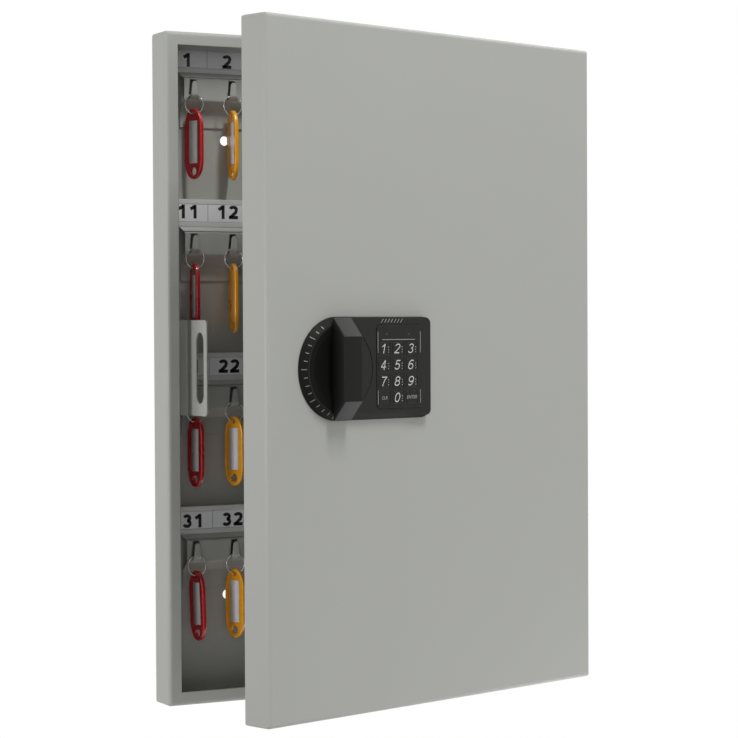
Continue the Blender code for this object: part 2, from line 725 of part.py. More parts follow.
def lock_case():
    """A cover over the works, with flanges on the door skin, a bolt window and a battery opening."""
    right = CASE_LEFT_X + CASE_L
    walls = box_outline(CASE_LEFT_X, right, LOCK_Z - CASE_H / 2, LOCK_Z + CASE_H / 2)
    flange = box_outline(CASE_LEFT_X, right, LOCK_Z - CASE_FLANGE_H / 2, LOCK_Z + CASE_FLANGE_H / 2)
    reach = CASE_H / 2 - CASE_WALL
    inside = box_outline(CASE_LEFT_X + CASE_WALL, right - CASE_WALL, LOCK_Z - reach, LOCK_Z + reach)
    shape = prism(walls, CASE_FRONT_Y + CASE_WALL / 2, CASE_BACK_Y, along_y)
    shape = combined(shape, [prism(flange, CASE_FRONT_Y, CASE_FRONT_Y + CASE_WALL, along_y)], "UNION")
    hollow = prism(inside, CASE_FRONT_Y - 1, CASE_BACK_Y - CASE_WALL, along_y)
    shape = combined(shape, [hollow], "DIFFERENCE")
    bolt_y, bolt_z = BOLT_T / 2 + RUNNING, BOLT_H / 2 + RUNNING
    window = box_outline(BOLT_Y - bolt_y, BOLT_Y + bolt_y, LOCK_Z - bolt_z, LOCK_Z + bolt_z)
    bolt_window = prism(window, CASE_LEFT_X - 1, CASE_LEFT_X + CASE_WALL + 1, along_x)
    batteries = prism(battery_opening(0), CASE_BACK_Y - 2 * CASE_WALL, CASE_BACK_Y + 1, along_y)
    return combined(shape, [bolt_window, batteries], "DIFFERENCE")


def battery_axis_y():
    return CASE_BACK_Y - CASE_WALL - 2 - BATTERY_R


def battery_tray():
    """A block with a round cradle for each battery, between two end walls."""
    left, right = tray_span()
    top = battery_axis_y() - 2
    low = LOCK_Z - CASE_H / 2 + CASE_WALL + FIT
    high = LOCK_Z + CASE_H / 2 - CASE_WALL - FIT
    groove = BATTERY_R + FIT
    spread = math.degrees(math.asin(2 / groove))
    outline = [(top - TRAY_T, low), (top, low)]
    for z in battery_heights():
        outline += arc(battery_axis_y(), z, groove, 270 - spread, 90 + spread, 8)
    outline += [(top, high), (top - TRAY_T, high)]
    block = prism(outline, left + TRAY_END / 2, right - TRAY_END / 2, along_x)
    wall = box_outline(top - TRAY_T, battery_axis_y() + BATTERY_R, low, high)
    ends = [prism(wall, x, x + TRAY_END, along_x) for x in (left, right - TRAY_END)]
    return combined(block, ends, "UNION")


def battery(z):
    left = tray_span()[0] + TRAY_END + FIT
    sections = ((BATTERY_R - 0.5, 0), (BATTERY_R, 0.5), (BATTERY_R, BATTERY_L - 2), (2.7, BATTERY_L - 1.8))
    loops = []
    for radius, x in sections + ((2.7, BATTERY_L),):
        loops.append([along_x(*p, left + x) for p in circle(battery_axis_y(), z, radius, 14)])
    return loft(loops)


def battery_cover():
    front = CASE_BACK_Y + FIT
    plate = prism(battery_opening(COVER_LAP), front, front + COVER_T, along_y)
    left, right = tray_span()
    grip = rounded(right - 6, LOCK_Z, 2.4, 24, 1)
    return combined(plate, [prism(grip, front + COVER_T / 2, front + COVER_T + 0.5, along_y)], "UNION")


def solenoid():
    """A coil in its frame, with its pin drawn in below the bolt."""
    length, height, depth = SOLENOID_SIZE
    low = LOCK_Z - CASE_H / 2 + CASE_WALL + FIT
    pin_x = CASE_LEFT_X + 18
    outline = rounded(pin_x, low + height / 2, length, height, 1)
    frame = prism(outline, BOLT_Y - depth / 2, BOLT_Y + depth / 2, along_y)
    pin = prism(circle(pin_x, BOLT_Y, SOLENOID_PIN_R, 12), low + height - 2, LOCK_Z - BOLT_H / 2 - 1, along_z)
    return combined(frame, [pin], "UNION")


def key_ring():
    """A wire ring below the point that it hangs from."""
    loops = []
    for turn in range(20):
        spin = Matrix.Rotation(math.tau * turn / 20, 4, "Y")
        section = [Vector((0, y, RING_R + r)) for r, y in circle(0, 0, WIRE_R, 5)]
        loops.append([spin @ p - Vector((0, 0, RING_R)) for p in section])
    return loft(loops, ring=True)


def tag_outline(inset):
    """An oval with straight sides, from its head. Its own point is at the top of the eye it hangs by."""
    half, taper = TAG_W / 2 - inset, TAG_TAPER_L - inset
    outline = []
    for middle, start in ((TAG_BAR - TAG_TAPER_L, 0), (TAG_BAR - TAG_L + TAG_TAPER_L, 180)):
        outline += [(half * u, middle + taper * v) for u, v in arc(0, 0, 1, start, start + 180, 8)]
    return outline


def key_tag():
    thick = TAG_T / 2
    levels = ((TAG_EDGE, -thick), (0, TAG_EDGE - thick), (0, thick - TAG_EDGE), (TAG_EDGE, thick))
    body = loft([[along_y(*p, y) for p in tag_outline(inset)] for inset, y in levels])
    eye = circle(0, -TAG_EYE_R, TAG_EYE_R, 10)
    hole = circle(0, TAG_BAR - TAG_L + TAG_HOLE_INSET, TAG_HOLE_R, 12)
    window_z = TAG_BAR - TAG_WINDOW_INSET - TAG_WINDOW[1] / 2
    window = rounded(0, window_z, *TAG_WINDOW, 1.0)
    cuts = [prism(o, -TAG_T, TAG_T, along_y) for o in (eye, hole)]
    cuts.append(prism(window, -TAG_T, TAG_WINDOW_DEPTH - thick, along_y))
    return combined(body, cuts, "DIFFERENCE")


def clear_scene():
    for obj in list(bpy.data.objects):
        bpy.data.objects.remove(obj)


def add_cabinet(paint, plastic, steel):
    cabinet = Carrier("cabinet")
    cabinet.add("cabinet_body", cabinet_body(), paint)
    rail = mesh_of("hook_rail", hook_rail(), paint)
    holder = mesh_of("label_strip", label_holder(), plastic)
    for row in range(ROWS):
        cabinet.hang(f"hook_rail_{row + 1}", rail, (0, 0, row_height(row)))
        cabinet.hang(f"label_strip_{row + 1}", holder, (0, 0, row_height(row)))
    cabinet.add("strike_bracket", strike_bracket(), paint)
    for name, side in (("upper", 1), ("lower", -1)):
        z = side * (CABINET_H / 2 - HINGE_INSET)
        cabinet.add(f"hinge_leaf_frame_{name}", hinge_leaf(z, 1, (0, 2)), paint)
        cabinet.add(f"hinge_pin_{name}", hinge_pin(z), steel)
    return cabinet


def add_door(cabinet, paint, black, steel):
    door = Carrier("door_axis", (AXIS_X, SEAM_Y, 0), cabinet)
    door.add("door_panel", door_panel(), paint)
    for name, side in (("upper", 1), ("lower", -1)):
        z = side * (CABINET_H / 2 - HINGE_INSET)
        door.add(f"hinge_leaf_door_{name}", hinge_leaf(z, -1, (1,)), paint)
    door.add("lock_housing", lock_housing(), black)
    door.add("keypad_panel", keypad_panel(), black)
    door.add("circuit_board", circuit_board(), material("board green", (0.02, 0.12, 0.05), 0.5))
    door.add("lock_case", lock_case(), black)
    door.add("battery_tray", battery_tray(), black)
    for k, z in enumerate(battery_heights()):
        door.add(f"battery_{k + 1}", battery(z), steel)
    door.add("solenoid", solenoid(), steel)
    return door


def add_lock_motion(door, black, steel):
    knob_axis = Carrier("knob_axis", (KNOB_X, HOUSING_FRONT_Y, LOCK_Z), door)
    knob_axis.add("knob", knob(), black)
    knob_axis.add("spindle", spindle(), steel)
    knob_axis.add("bolt_cam", bolt_cam(), steel)
    door.add("lock_bolt", lock_bolt(), steel, (CASE_LEFT_X, BOLT_Y, LOCK_Z))
    door.add("battery_cover", battery_cover(), black, (tray_span()[1], CASE_BACK_Y, LOCK_Z))
    for name, (x, z) in zip(KEY_NAMES, key_places()):
        door.add(f"key_{name}", key_cap(x, z), black, (x, PANEL_FRONT_Y, z))


def add_tags(cabinet, wire):
    ring = mesh_of("key_ring", key_ring(), wire)
    red = mesh_of("red_tag", key_tag(), material("red plastic", (0.42, 0.008, 0.012), 0.3))
    yellow = mesh_of("yellow_tag", key_tag(), material("yellow plastic", (0.7, 0.3, 0.01), 0.3))
    for row in range(min(ROWS, TAG_ROWS)):
        for column, tag in zip(range(TAG_COLUMNS), (red, yellow)):
            top = Vector((hook_places()[column], RING_Y, row_height(row) + HOOK_ROOT + RING_HANG))
            swing = Carrier(f"tag_axis_{row + 1}_{column + 1}", top, cabinet)
            swing.hang(f"key_ring_{row + 1}_{column + 1}", ring, top)
            bar = top - Vector((0, 0, 2 * RING_R - WIRE_R - RING_PLAY))
            turn = (0, TAG_TILT_DEG[row][column], TAG_YAW_DEG[row][column])
            swing.hang(f"key_tag_{row + 1}_{column + 1}", tag, bar, turn)


def main():
    clear_scene()
    paint = material("grey paint", (0.39, 0.395, 0.36), 0.45)
    plastic = material("label plastic", (0.45, 0.46, 0.46), 0.4)
    black = material("black plastic", (0.02, 0.02, 0.019), 0.4)
    steel = material("plated steel", (0.6, 0.6, 0.58), 0.3, 1.0)
    cabinet = add_cabinet(paint, plastic, steel)
    door = add_door(cabinet, paint, black, steel)
    add_lock_motion(door, black, steel)
    add_tags(cabinet, steel)
    door.empty.rotation_euler.z = math.radians(OPEN_DEG)


main()
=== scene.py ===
"""Looks for the key cabinet: paint, lock, printed cards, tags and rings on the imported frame.

Points are worked out in millimetres in the cabinet's own frame. What sits on the door is drawn with the
door shut and then swung open with it. A flat shape is a ring of (x, z) points laid at a depth along Y.
"""

import math

import bmesh
import bpy
import numpy as np
from mathutils import Matrix, Vector
from mathutils.geometry import tessellate_polygon


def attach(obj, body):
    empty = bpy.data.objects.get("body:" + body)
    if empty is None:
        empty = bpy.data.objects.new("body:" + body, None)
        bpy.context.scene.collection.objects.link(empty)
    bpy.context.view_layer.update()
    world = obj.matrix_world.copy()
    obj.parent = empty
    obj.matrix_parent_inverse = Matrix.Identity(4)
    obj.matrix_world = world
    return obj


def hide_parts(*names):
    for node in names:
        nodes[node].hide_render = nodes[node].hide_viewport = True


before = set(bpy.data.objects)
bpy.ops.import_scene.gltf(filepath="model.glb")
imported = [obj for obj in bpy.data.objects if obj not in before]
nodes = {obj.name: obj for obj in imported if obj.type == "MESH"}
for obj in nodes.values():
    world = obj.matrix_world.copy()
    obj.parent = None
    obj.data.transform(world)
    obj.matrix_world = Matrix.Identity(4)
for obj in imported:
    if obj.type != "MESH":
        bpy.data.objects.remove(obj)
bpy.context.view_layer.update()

MM = 0.001
ROWS = [255.5 - 127.0 * row for row in range(4)]
COLUMNS = 10

# Door, swung open about its hinges
HINGE = np.array((194.0, -30.25, 0.0))
OPEN = math.radians(16.5)

# Cards in the label holders: depths, half heights, and each row's shift of its print
CARD_BACK = -7.35
CARD_LEDGE = CARD_BACK - 0.45
CARD_FACE = -8.35
CARD_HALF = 9.6
CARD_WINDOW = 7.2
CARD_PITCH = 35.9
CARD_REACH = COLUMNS / 2 * CARD_PITCH
CARD_END = CARD_REACH + 2
CARD_SHIFT = ((0.0, -1.0), (0.0, 1.2), (0.4, 0.2), (2.7, -0.6))
CARD_FIGURE = {"height": 11.3, "width": 0.245, "pitch": 0.93}
CARD_RULE = (0.25, 7.1)

# Print: how far it stands off its face, and a figure's width over its height
PRINT = 0.02
DIGIT_WIDE = 0.74

# Slope under a label holder: its side view (depth, height), and the rail's slanted end
RAMP_SIDE = np.array(((-6.75, -11.42), (-8.4, -11.42), (-11.4, -16.8), (-10.76, -15.63), (-6.93, -12.53)))
RAIL_END = 165.5
RAIL_SLANT = 3.0
SLANT_LOW = -16.4
SLANT_RISE = 3.55

# Rings and tags on the first two hooks of each row
HOOKS = (-157.5, -122.5)
RING_Y = -12.8
RING_TOP = -33.2 + 3.743694
RING_R = 8.1
RING_WIRE = 0.38
RING_TURNS = 2
RING_START = 0.9
RING_STEPS = 192
RING_SIDES = 10
TIP_RATE = 120
STEP_RATE = 60
TAG_DROP = 14.75
TAG_YAW = ((-70, -94), (-98, -99), (-78, -65), (-80, -65))
TAG_TILT = {(3, 0): -3.0}
TAG_TURNED = {(1, 1)}
TAG_HALF = 10.0
TAG_END = 16.0
TAG_HEAD = 2.8
TAG_TAIL = -55.2
TAG_FACE = 1.8
TAG_FLOOR = 1.35
TAG_LIP = ((2.2, TAG_FLOOR), (1.7, 1.72), (1.4, TAG_FACE))
TAG_EDGE = 0.95
TAG_EYE = (-1.75, 1.6)
TAG_HOLE = (-48.6, 3.4)
HOLE_LIP = 0.3
WINDOW_SIZE = (10.0, 35.5, 0.8)
WINDOW_SILL = 0.5
SILL_DROP = 0.15
SLIP_FLOOR = 1.0
SLIP_BACK = SLIP_FLOOR + 0.01
SLIP_FACE = SLIP_FLOOR + 0.14
SLIP_EDGE = 0.05
SLIP_MIDDLE = -24.55
SLIP_SIZE = (9.6, 35.1, 0.6)

# Lock on the door, about the knob's axis
LOCK = np.array((-117.0, 0.0, 1.0))
LOCK_FLAT = LOCK[[0, 2]]
HOUSING_FACE = -66.0
HOUSING_FLOOR = -61.1
SHELL_R = 41.0
SHELL_END = 95
SHELL_CORNER = 6
SHELL_FOOT = -60.8
SHELL_BACK = SHELL_FOOT + 0.5
SHELL_RIM = 0.6
CHAMFER = 5.4
ROUND_STEPS = 72
CORNER_STEPS = 10
FOOT_RUN = (8, 93)
FOOT_STEPS = 11
SLOPE_GROWS = 20
SLOPE_FADES = 70
SLOPE_LEFT = 0.4
POCKET_R = 34.3
BORE_R = 4.4
SEAT = (64.8, 1.0, 52.6, 67.6, 4.3)
SEAT_FLOOR = HOUSING_FACE + 0.8
KEY_ROOM = (62.8, -4.25, 46.4, 52.3, 1.5)

# Knob: a skirt with a hollow behind a bead, and the grip's side view (depth, height)
SKIRT_BORE = 4.3
SKIRT_R = 33.7
SKIRT_FACE = -65.9
SKIRT_SIDE = ((34.05, -65.6), (34.05, -61.9), (SKIRT_R, -61.5), (SKIRT_BORE, -61.5))
BEAD_R = 29.3
BEAD_WIDTH = 0.55
BEAD_RISE = 0.22
HOLLOW = 2.7
HOLLOW_RUN = 17
HOLLOW_SIDE = 1.8
RIM_FALL = 0.09
GRIP_SIDE = np.array((
    (-80.0, -25.4), (-67.1, -40.5), (-66.85, -40.1), (-66.8, -31.0), (-62.5, -31.0),
    (-62.5, 31.0), (-66.8, 31.0), (-66.85, 40.1), (-67.1, 40.5), (-80.0, 25.4),
))
GRIP_HALF = 10
GRIP_EDGE = 1.1
GRIP_DRAW = 0.6

# Keypad
KEYS = ("1", "2", "3", "4", "5", "6", "7", "8", "9", "clear", "0", "enter")
KEY_PITCH = (15.5, 13.1)
KEY_FACE = -66.4
KEY_FIGURE = {"height": 7.7, "width": 0.104, "pitch": 0.9, "slant": 0.26}
FIGURE_ASIDE = -1.0
KEY_WORDS = {"clear": ("CLR", 2.6), "enter": ("ENTER", 2.8)}
WORD_STYLE = {"weight": 0.01, "slant": 0.2}
KEY_DOTS = {"count": 3, "pitch": 2.0, "radius": 0.36}
DOTS_ASIDE = (4.4, -0.8)
PANEL_FACE = -66.3
LAMP_DOT = {"count": 1, "pitch": 1, "radius": 0.9}
LAMP_PLACES = ((49.9, 27.0), (75.2, 27.0))
RULE_ABOVE = (45, 22.6, 82, 22.6)
RULE_SIDES = (40.0, 88.2)
RULE_SPANS = ((-29, -18), (12, 29))

# Silver marks on the lock: ticks round the knob in degrees and reach, and slanted strokes in a row
MARK_RISE = 0.03
MARK_WIDTH = 0.5
TICK_ANGLES = range(120, 270, 10)
TICK_NEAR = 36.2
TICK_FAR = 38.4
TICK_LONG = 39.6
STROKE_COUNT = 7
STROKE_START = 44.0
STROKE_PITCH = 3.6
STROKE_LEAN = 2.4
STROKE_SPAN = (36.2, 39.2)

# Screw heads: radius and rise of each kind, and their places
HINGE_SCREW = (2.7, 1.0)
HINGE_FACE = 191.8
HINGE_LEVELS = (("upper", 170.0), ("lower", -170.0))
HINGE_STEPS = (-22, 0, 22)
LEAF_ASIDE = 15
CASE_SCREW = (2.6, 1.1)
CASE_PLACES = [(x, -57.2, LOCK[2] + z) for x in (-150, -95, -40) for z in (-47, 47)]
STRIKE_SCREW = (2.8, 1.1)
STRIKE_PLACES = [(-187.2, -10.5, LOCK[2] + z) for z in (-24, 24)]

# Studio, in metres and watts. A lamp has a name, a place, a point it looks at, a size and a power.
FLOOR_R = 1.3
FLOOR_Z = -1.0
SOFT_LIGHT = 0.377
LIGHTS = (
    ("key", (0.28, -1.31, 2.13), (-0.1, -0.15, 0.0), (0.3, 0.7), 33.0),
    ("side", (-2.3, 1.1, 0.65), (-0.1, -0.05, 0.0), (1.0, 1.4), 6.5),
    ("near left", (-1.3, -0.35, 0.05), (-0.17, -0.03, 0.0), (0.3, 0.3), 4.9),
    ("front", (0.65, -2.1, 0.15), (-0.05, -0.15, 0.0), (1.2, 1.2), 5.5),
    ("rim", (1.46, 0.0, 1.5), (-0.1, -0.15, 0.0), (1.0, 1.0), 10.5),
    ("low rim", (0.478, -0.093, -0.555), (-0.096, -0.147, 0.0), (0.3, 0.3), 1.0),
)
CAMERA_LENS = 112.905
CAMERA_PLACE = Vector((-0.92477, -1.76779, 0.03505))
CAMERA_AIM = Vector((-0.00464, -0.030, -0.00202))
CAMERA_ROLL = math.radians(-0.269)


def shut_to_open(points):
    """Turns points about the hinge axis by the door's angle."""
    c, s = math.cos(OPEN), math.sin(OPEN)
    turn = np.array(((c, -s, 0), (s, c, 0), (0, 0, 1)))
    return (points - HINGE) @ turn.T + HINGE


def arc(cx, cy, radius, start, stop, steps):
    """Points on a circle about (cx, cy), evenly spaced between two angles in degrees."""
    a = np.radians(np.linspace(start, stop, steps + 1))
    return np.stack((cx + radius * np.cos(a), cy + radius * np.sin(a)), 1)


def rounded(cx, cy, width, height, radius, steps=6):
    """A rectangle whose corners are quarter circles, as one closed ring of points."""
    x, y = width / 2 - radius, height / 2 - radius
    turns = ((x, y, 0), (-x, y, 90), (-x, -y, 180), (x, -y, 270))
    return np.concatenate([arc(cx + dx, cy + dy, radius, a, a + 90, steps) for dx, dy, a in turns])


def drawn_in(ring, inset):
    """Moves each point of a counter-clockwise ring inwards along the mitre of its two edges."""
    edge = np.roll(ring, -1, 0) - ring
    normal = np.stack((-edge[:, 1], edge[:, 0]), 1) / np.linalg.norm(edge, axis=1)[:, None]
    before = np.roll(normal, 1, 0)
    mitre = (normal + before) / (1 + (normal * before).sum(1))[:, None]
    return ring + mitre * inset


def grid_faces(rows, columns, wrap=True):
    """Quads of a grid of points, row after row. The columns close on themselves when wrapped."""
    r, c = np.meshgrid(np.arange(rows - 1), np.arange(columns if wrap else columns - 1), indexing="ij")
    following = (c + 1) % columns
    quads = (r * columns + c, r * columns + following, (r + 1) * columns + following, (r + 1) * columns + c)
    return np.stack(quads, -1).reshape(-1, 4)


def surface(points, wrap=True):
    """A grid of points, shaped (rows, columns, 3), as a piece of mesh."""
    rows, columns = points.shape[:2]
    return points.reshape(-1, 3), grid_faces(rows, columns, wrap)


def closed(points):
    """A grid whose columns close on themselves, with its first and last rows filled by one face each."""
    grid, faces = surface(points)
    ring = np.arange(points.shape[1])
    return [(grid, faces), (grid, ring[None, ::-1]), (grid, ring[None] + len(grid) - len(ring))]


def cap(rings, depth):
    """Fills flat rings (the first is the outside) with triangles at one depth along Y."""
    flat = np.concatenate(rings)
    triangles = tessellate_polygon([[Vector((x, z, 0)) for x, z in ring] for ring in rings])
    return np.stack((flat[:, 0], np.full(len(flat), depth), flat[:, 1]), 1), np.array(triangles)


def walls(rings, depths):
    """A grid with one flat ring in each row, each laid at its own depth along Y."""
    deep = np.broadcast_to(np.array(depths, float)[:, None], (len(rings), len(rings[0])))
    flat = np.array(rings)
    return surface(np.stack((flat[..., 0], deep, flat[..., 1]), -1))


def edge_round(radius, steps=4):
    """A quarter circle as pairs (inset from the side, depth below the face)."""
    a = np.linspace(0, math.pi / 2, steps + 1)
    return np.stack((radius * (1 - np.sin(a)), radius * (1 - np.cos(a))), 1)


def slab(outline, front, back, radius):
    """A flat plate between two depths along Y, whose outer edges are rounded by quarter circles."""
    near = [(inset, front + drop) for inset, drop in edge_round(radius)]
    far = [(inset, back - drop) for inset, drop in edge_round(radius)[::-1]]
    steps = near + far
    rings = [drawn_in(outline, inset) for inset, _ in steps]
    return [walls(rings, [d for _, d in steps]), cap([rings[0]], front), cap([rings[-1]], back)]


def piece(name, parts, look, body, place=None, sharp=40):
    """One mesh object from pieces of mesh in millimetres, welded, with its faces turned outwards."""
    points = np.concatenate([p for p, _ in parts])
    faces = []
    start = 0
    for p, f in parts:
        faces += (f + start).tolist()
        start += len(p)
    if place is not None:
        points = place(points)
    mesh = bpy.data.meshes.new(name)
    mesh.from_pydata((points * MM).tolist(), [], faces)
    shape = bmesh.new()
    shape.from_mesh(mesh)
    bmesh.ops.remove_doubles(shape, verts=shape.verts, dist=1e-7)
    bmesh.ops.recalc_face_normals(shape, faces=shape.faces)
    shape.to_mesh(mesh)
    shape.free()
    mesh.shade_smooth()
    mesh.set_sharp_from_angle(angle=math.radians(sharp))
    mesh.materials.append(look)
    obj = bpy.data.objects.new(name, mesh)
    bpy.context.scene.collection.objects.link(obj)
    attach(obj, body)
    return obj


def lettering(words, height, weight, slant, thick=PRINT):
    """Words as flat raised letters about their middle, as (points, triangles) with X and Z in the face."""
    curve = bpy.data.curves.new("lettering", "FONT")
    curve.body = words
    curve.shear = slant
    curve.offset = weight
    curve.extrude = 0.01
    curve.resolution_u = 6
    obj = bpy.data.objects.new("lettering", curve)
    bpy.context.scene.collection.objects.link(obj)
    solid = bpy.data.meshes.new_from_object(obj.evaluated_get(bpy.context.evaluated_depsgraph_get()))
    solid.calc_loop_triangles()
    co = np.empty(len(solid.vertices) * 3, np.float32)
    solid.vertices.foreach_get("co", co)
    tri = np.empty(len(solid.loop_triangles) * 3, np.int32)
    solid.loop_triangles.foreach_get("vertices", tri)
    bpy.data.objects.remove(obj)
    bpy.data.curves.remove(curve)
    bpy.data.meshes.remove(solid)
    co = co.reshape(-1, 3).astype(float)
    low, high = co.min(0), co.max(0)
    scale = height / (high[1] - low[1])
    flat = (co - (low + high) / 2) * scale
    depth = np.where(co[:, 2] > 0, -thick, 0.0)
    return np.stack((flat[:, 0], depth, flat[:, 1]), 1), tri.reshape(-1, 3)


def shifted(part, offset):
    """A piece of mesh moved by an offset."""
    return part[0] + np.array(offset, float), part[1]


def oval(cx, cy, rx, ry, start, stop, steps=22):
    """Points on an ellipse about (cx, cy), evenly spaced in angle between two values in degrees."""
    a = np.radians(np.linspace(start, stop, steps + 1))
    return np.stack((cx + rx * np.cos(a), cy + ry * np.sin(a)), 1)


def bend(a, b, c, steps=12):
    """A parabola from a to c that leaves along the line to b: squared weights of the three points."""
    t = np.linspace(0, 1, steps + 1)[:, None]
    return (1 - t) ** 2 * np.array(a) + 2 * t * (1 - t) * np.array(b) + t**2 * np.array(c)


def digit_paths(digit, half):
    """Middle lines of a figure one unit high, kept half a stroke inside its box."""
    wide, top, mid = DIGIT_WIDE, 1 - half, 0.53
    cx, rx = wide / 2, wide / 2 - half
    over, under = (top - mid) / 2, (mid - half) / 2
    neck = bend((0.575, 0.53), (0.42, 0.36), (half, half))
    two = np.concatenate((oval(cx, 0.71, rx, 0.29 - half, 168, -28), neck))
    six = [oval(cx, 0.325, rx, 0.325 - half, 0, 360), oval(cx + 0.06, 0.46, rx + 0.06, 0.54 - half, 180, 52)]
    paths = {
        "0": [oval(cx, 0.5, rx, 0.5 - half, 0, 360, 36)],
        "1": [np.array(((0.47, 0.0), (0.47, 1.0))), bend((0.45, 1 - half * 0.9), (0.33, 0.80), (0.10, 0.68))],
        "2": [two, np.array(((0.0, half), (wide, half)))],
        "3": [oval(cx, mid + over, rx - 0.03, over, 160, -90), oval(cx, half + under, rx, under, 90, -160)],
        "4": [
            np.array(((0.49, 0.97), (half * 0.7, 0.30))), np.array(((0.0, 0.29), (wide, 0.29))),
            np.array(((0.52, 0.0), (0.52, 1.0))),
        ],
        "5": [
            np.array(((wide - 0.06, top), (0.14, top))), np.array(((0.19, top), (0.13, 0.47))),
            oval(cx, 0.335, rx, 0.335 - half, 142, -158),
        ],
        "6": six,
        "7": [np.array(((0.0, top), (wide, top))), bend((wide - half, top), (0.36, 0.55), (0.30, 0.0))],
        "8": [oval(cx, mid + over, rx - 0.03, over, 0, 360), oval(cx, half + under, rx, under, 0, 360)],
        "9": [np.array((wide, 1.0)) - path for path in six],
    }
    return paths[digit]


def stroke(path, half, thick):
    """A flat band carried along a line: each point steps aside by half the width, at two depths along Y."""
    way = np.gradient(path, axis=0)
    side = np.stack((-way[:, 1], way[:, 0]), 1) / np.linalg.norm(way, axis=1)[:, None] * half
    corners = ((path + side, 0.0), (path + side, -thick), (path - side, -thick), (path - side, 0.0))
    band = np.stack([np.stack((p[:, 0], np.full(len(p), y), p[:, 1]), 1) for p, y in corners], 1)
    return closed(band)


def figures(number, height, width, pitch, slant=0.0, thick=PRINT):
    """A number in bands about its middle. Slant shifts a point sideways by its height."""
    parts = []
    for place, digit in enumerate(number):
        across = (place - (len(number) - 1) / 2) * pitch - DIGIT_WIDE / 2
        for path in digit_paths(digit, width / 2):
            for points, faces in stroke(path, width / 2, thick / height):
                points = points + np.array((across, 0.0, -0.5))
                points[:, 0] += slant * points[:, 2]
                parts.append((points * height, faces))
    return parts


# Materials


def linear(r, g, b):
    """A colour given in 0 to 255 screen values, as linear light."""
    c = np.array((r, g, b)) / 255
    return tuple(np.where(c <= 0.04045, c / 12.92, ((c + 0.055) / 1.055) ** 2.4)) + (1.0,)


def new_group(name, inputs, outputs):
    """An empty shader node group with named sockets."""
    group = bpy.data.node_groups.new(name, "ShaderNodeTree")
    for label, kind, value in inputs:
        socket = group.interface.new_socket(label, in_out="INPUT", socket_type=kind)
        socket.default_value = value
    for label, kind in outputs:
        group.interface.new_socket(label, in_out="OUTPUT", socket_type=kind)
    return group, group.nodes.new("NodeGroupInput"), group.nodes.new("NodeGroupOutput")


def node(tree, kind, links=(), **values):
    """A node with its properties set and its inputs linked from (socket name or number, source) pairs."""
    made = tree.nodes.new(kind)
    for key, value in values.items():
        setattr(made, key, value)
    for key, source in links:
        if isinstance(source, bpy.types.NodeSocket):
            tree.links.new(source, made.inputs[key])
        else:
            made.inputs[key].default_value = source
    return made


def math_node(tree, operation, a, b, clamp=False):
    """One step of arithmetic on two values or sockets, as its output."""
    return node(tree, "ShaderNodeMath", ((0, a), (1, b)), operation=operation, use_clamp=clamp).outputs[0]


def make_grain_group():
    """Two sizes of noise: a broad one that shifts the colour's tone and a fine one that lifts the surface."""
    group, given, out = new_group(
        "grain",
        (
            ("Broad", "NodeSocketFloat", 12.0),
            ("Fine", "NodeSocketFloat", 900.0),
            ("Spread", "NodeSocketFloat", 0.05),
        ),
        (("Tone", "NodeSocketFloat"), ("Height", "NodeSocketFloat"), ("Patch", "NodeSocketFloat")),
    )
    where = node(group, "ShaderNodeTexCoord").outputs["Object"]

    def noise(size, detail):
        """Noise on the object's own coordinates, at one of the group's two sizes."""
        links = (("Vector", where), ("Scale", given.outputs[size]), ("Detail", detail))
        return node(group, "ShaderNodeTexNoise", links).outputs["Fac"]

    patch = noise("Broad", 4.0)
    height = noise("Fine", 2.0)
    lift = math_node(group, "SUBTRACT", patch, 0.5)
    tone = math_node(group, "ADD", math_node(group, "MULTIPLY", lift, given.outputs["Spread"]), 1.0)
    group.links.new(tone, out.inputs["Tone"])
    group.links.new(height, out.inputs["Height"])
    group.links.new(patch, out.inputs["Patch"])
    return group


def make_edge_group():
    """Where a rounded normal departs from the face's own normal: a mask of edges and corners, along which a
    finish may paint a highlight.
    """
    group, given, out = new_group(
        "edges", (("Radius", "NodeSocketFloat", 0.0008), ("Gain", "NodeSocketFloat", 3.0)),
        (("Mask", "NodeSocketFloat"), ("Normal", "NodeSocketVector")),
    )
    soft = node(group, "ShaderNodeBevel", (("Radius", given.outputs["Radius"]),), samples=4).outputs["Normal"]
    flat = node(group, "ShaderNodeNewGeometry").outputs["Normal"]
    same = node(group, "ShaderNodeVectorMath", ((0, soft), (1, flat)), operation="DOT_PRODUCT")
    away = math_node(group, "SUBTRACT", 1.0, same.outputs["Value"])
    mask = math_node(group, "MULTIPLY", away, given.outputs["Gain"], clamp=True)
    group.links.new(mask, out.inputs["Mask"])
    group.links.new(soft, out.inputs["Normal"])
    return group


GRAIN = make_grain_group()
EDGES = make_edge_group()


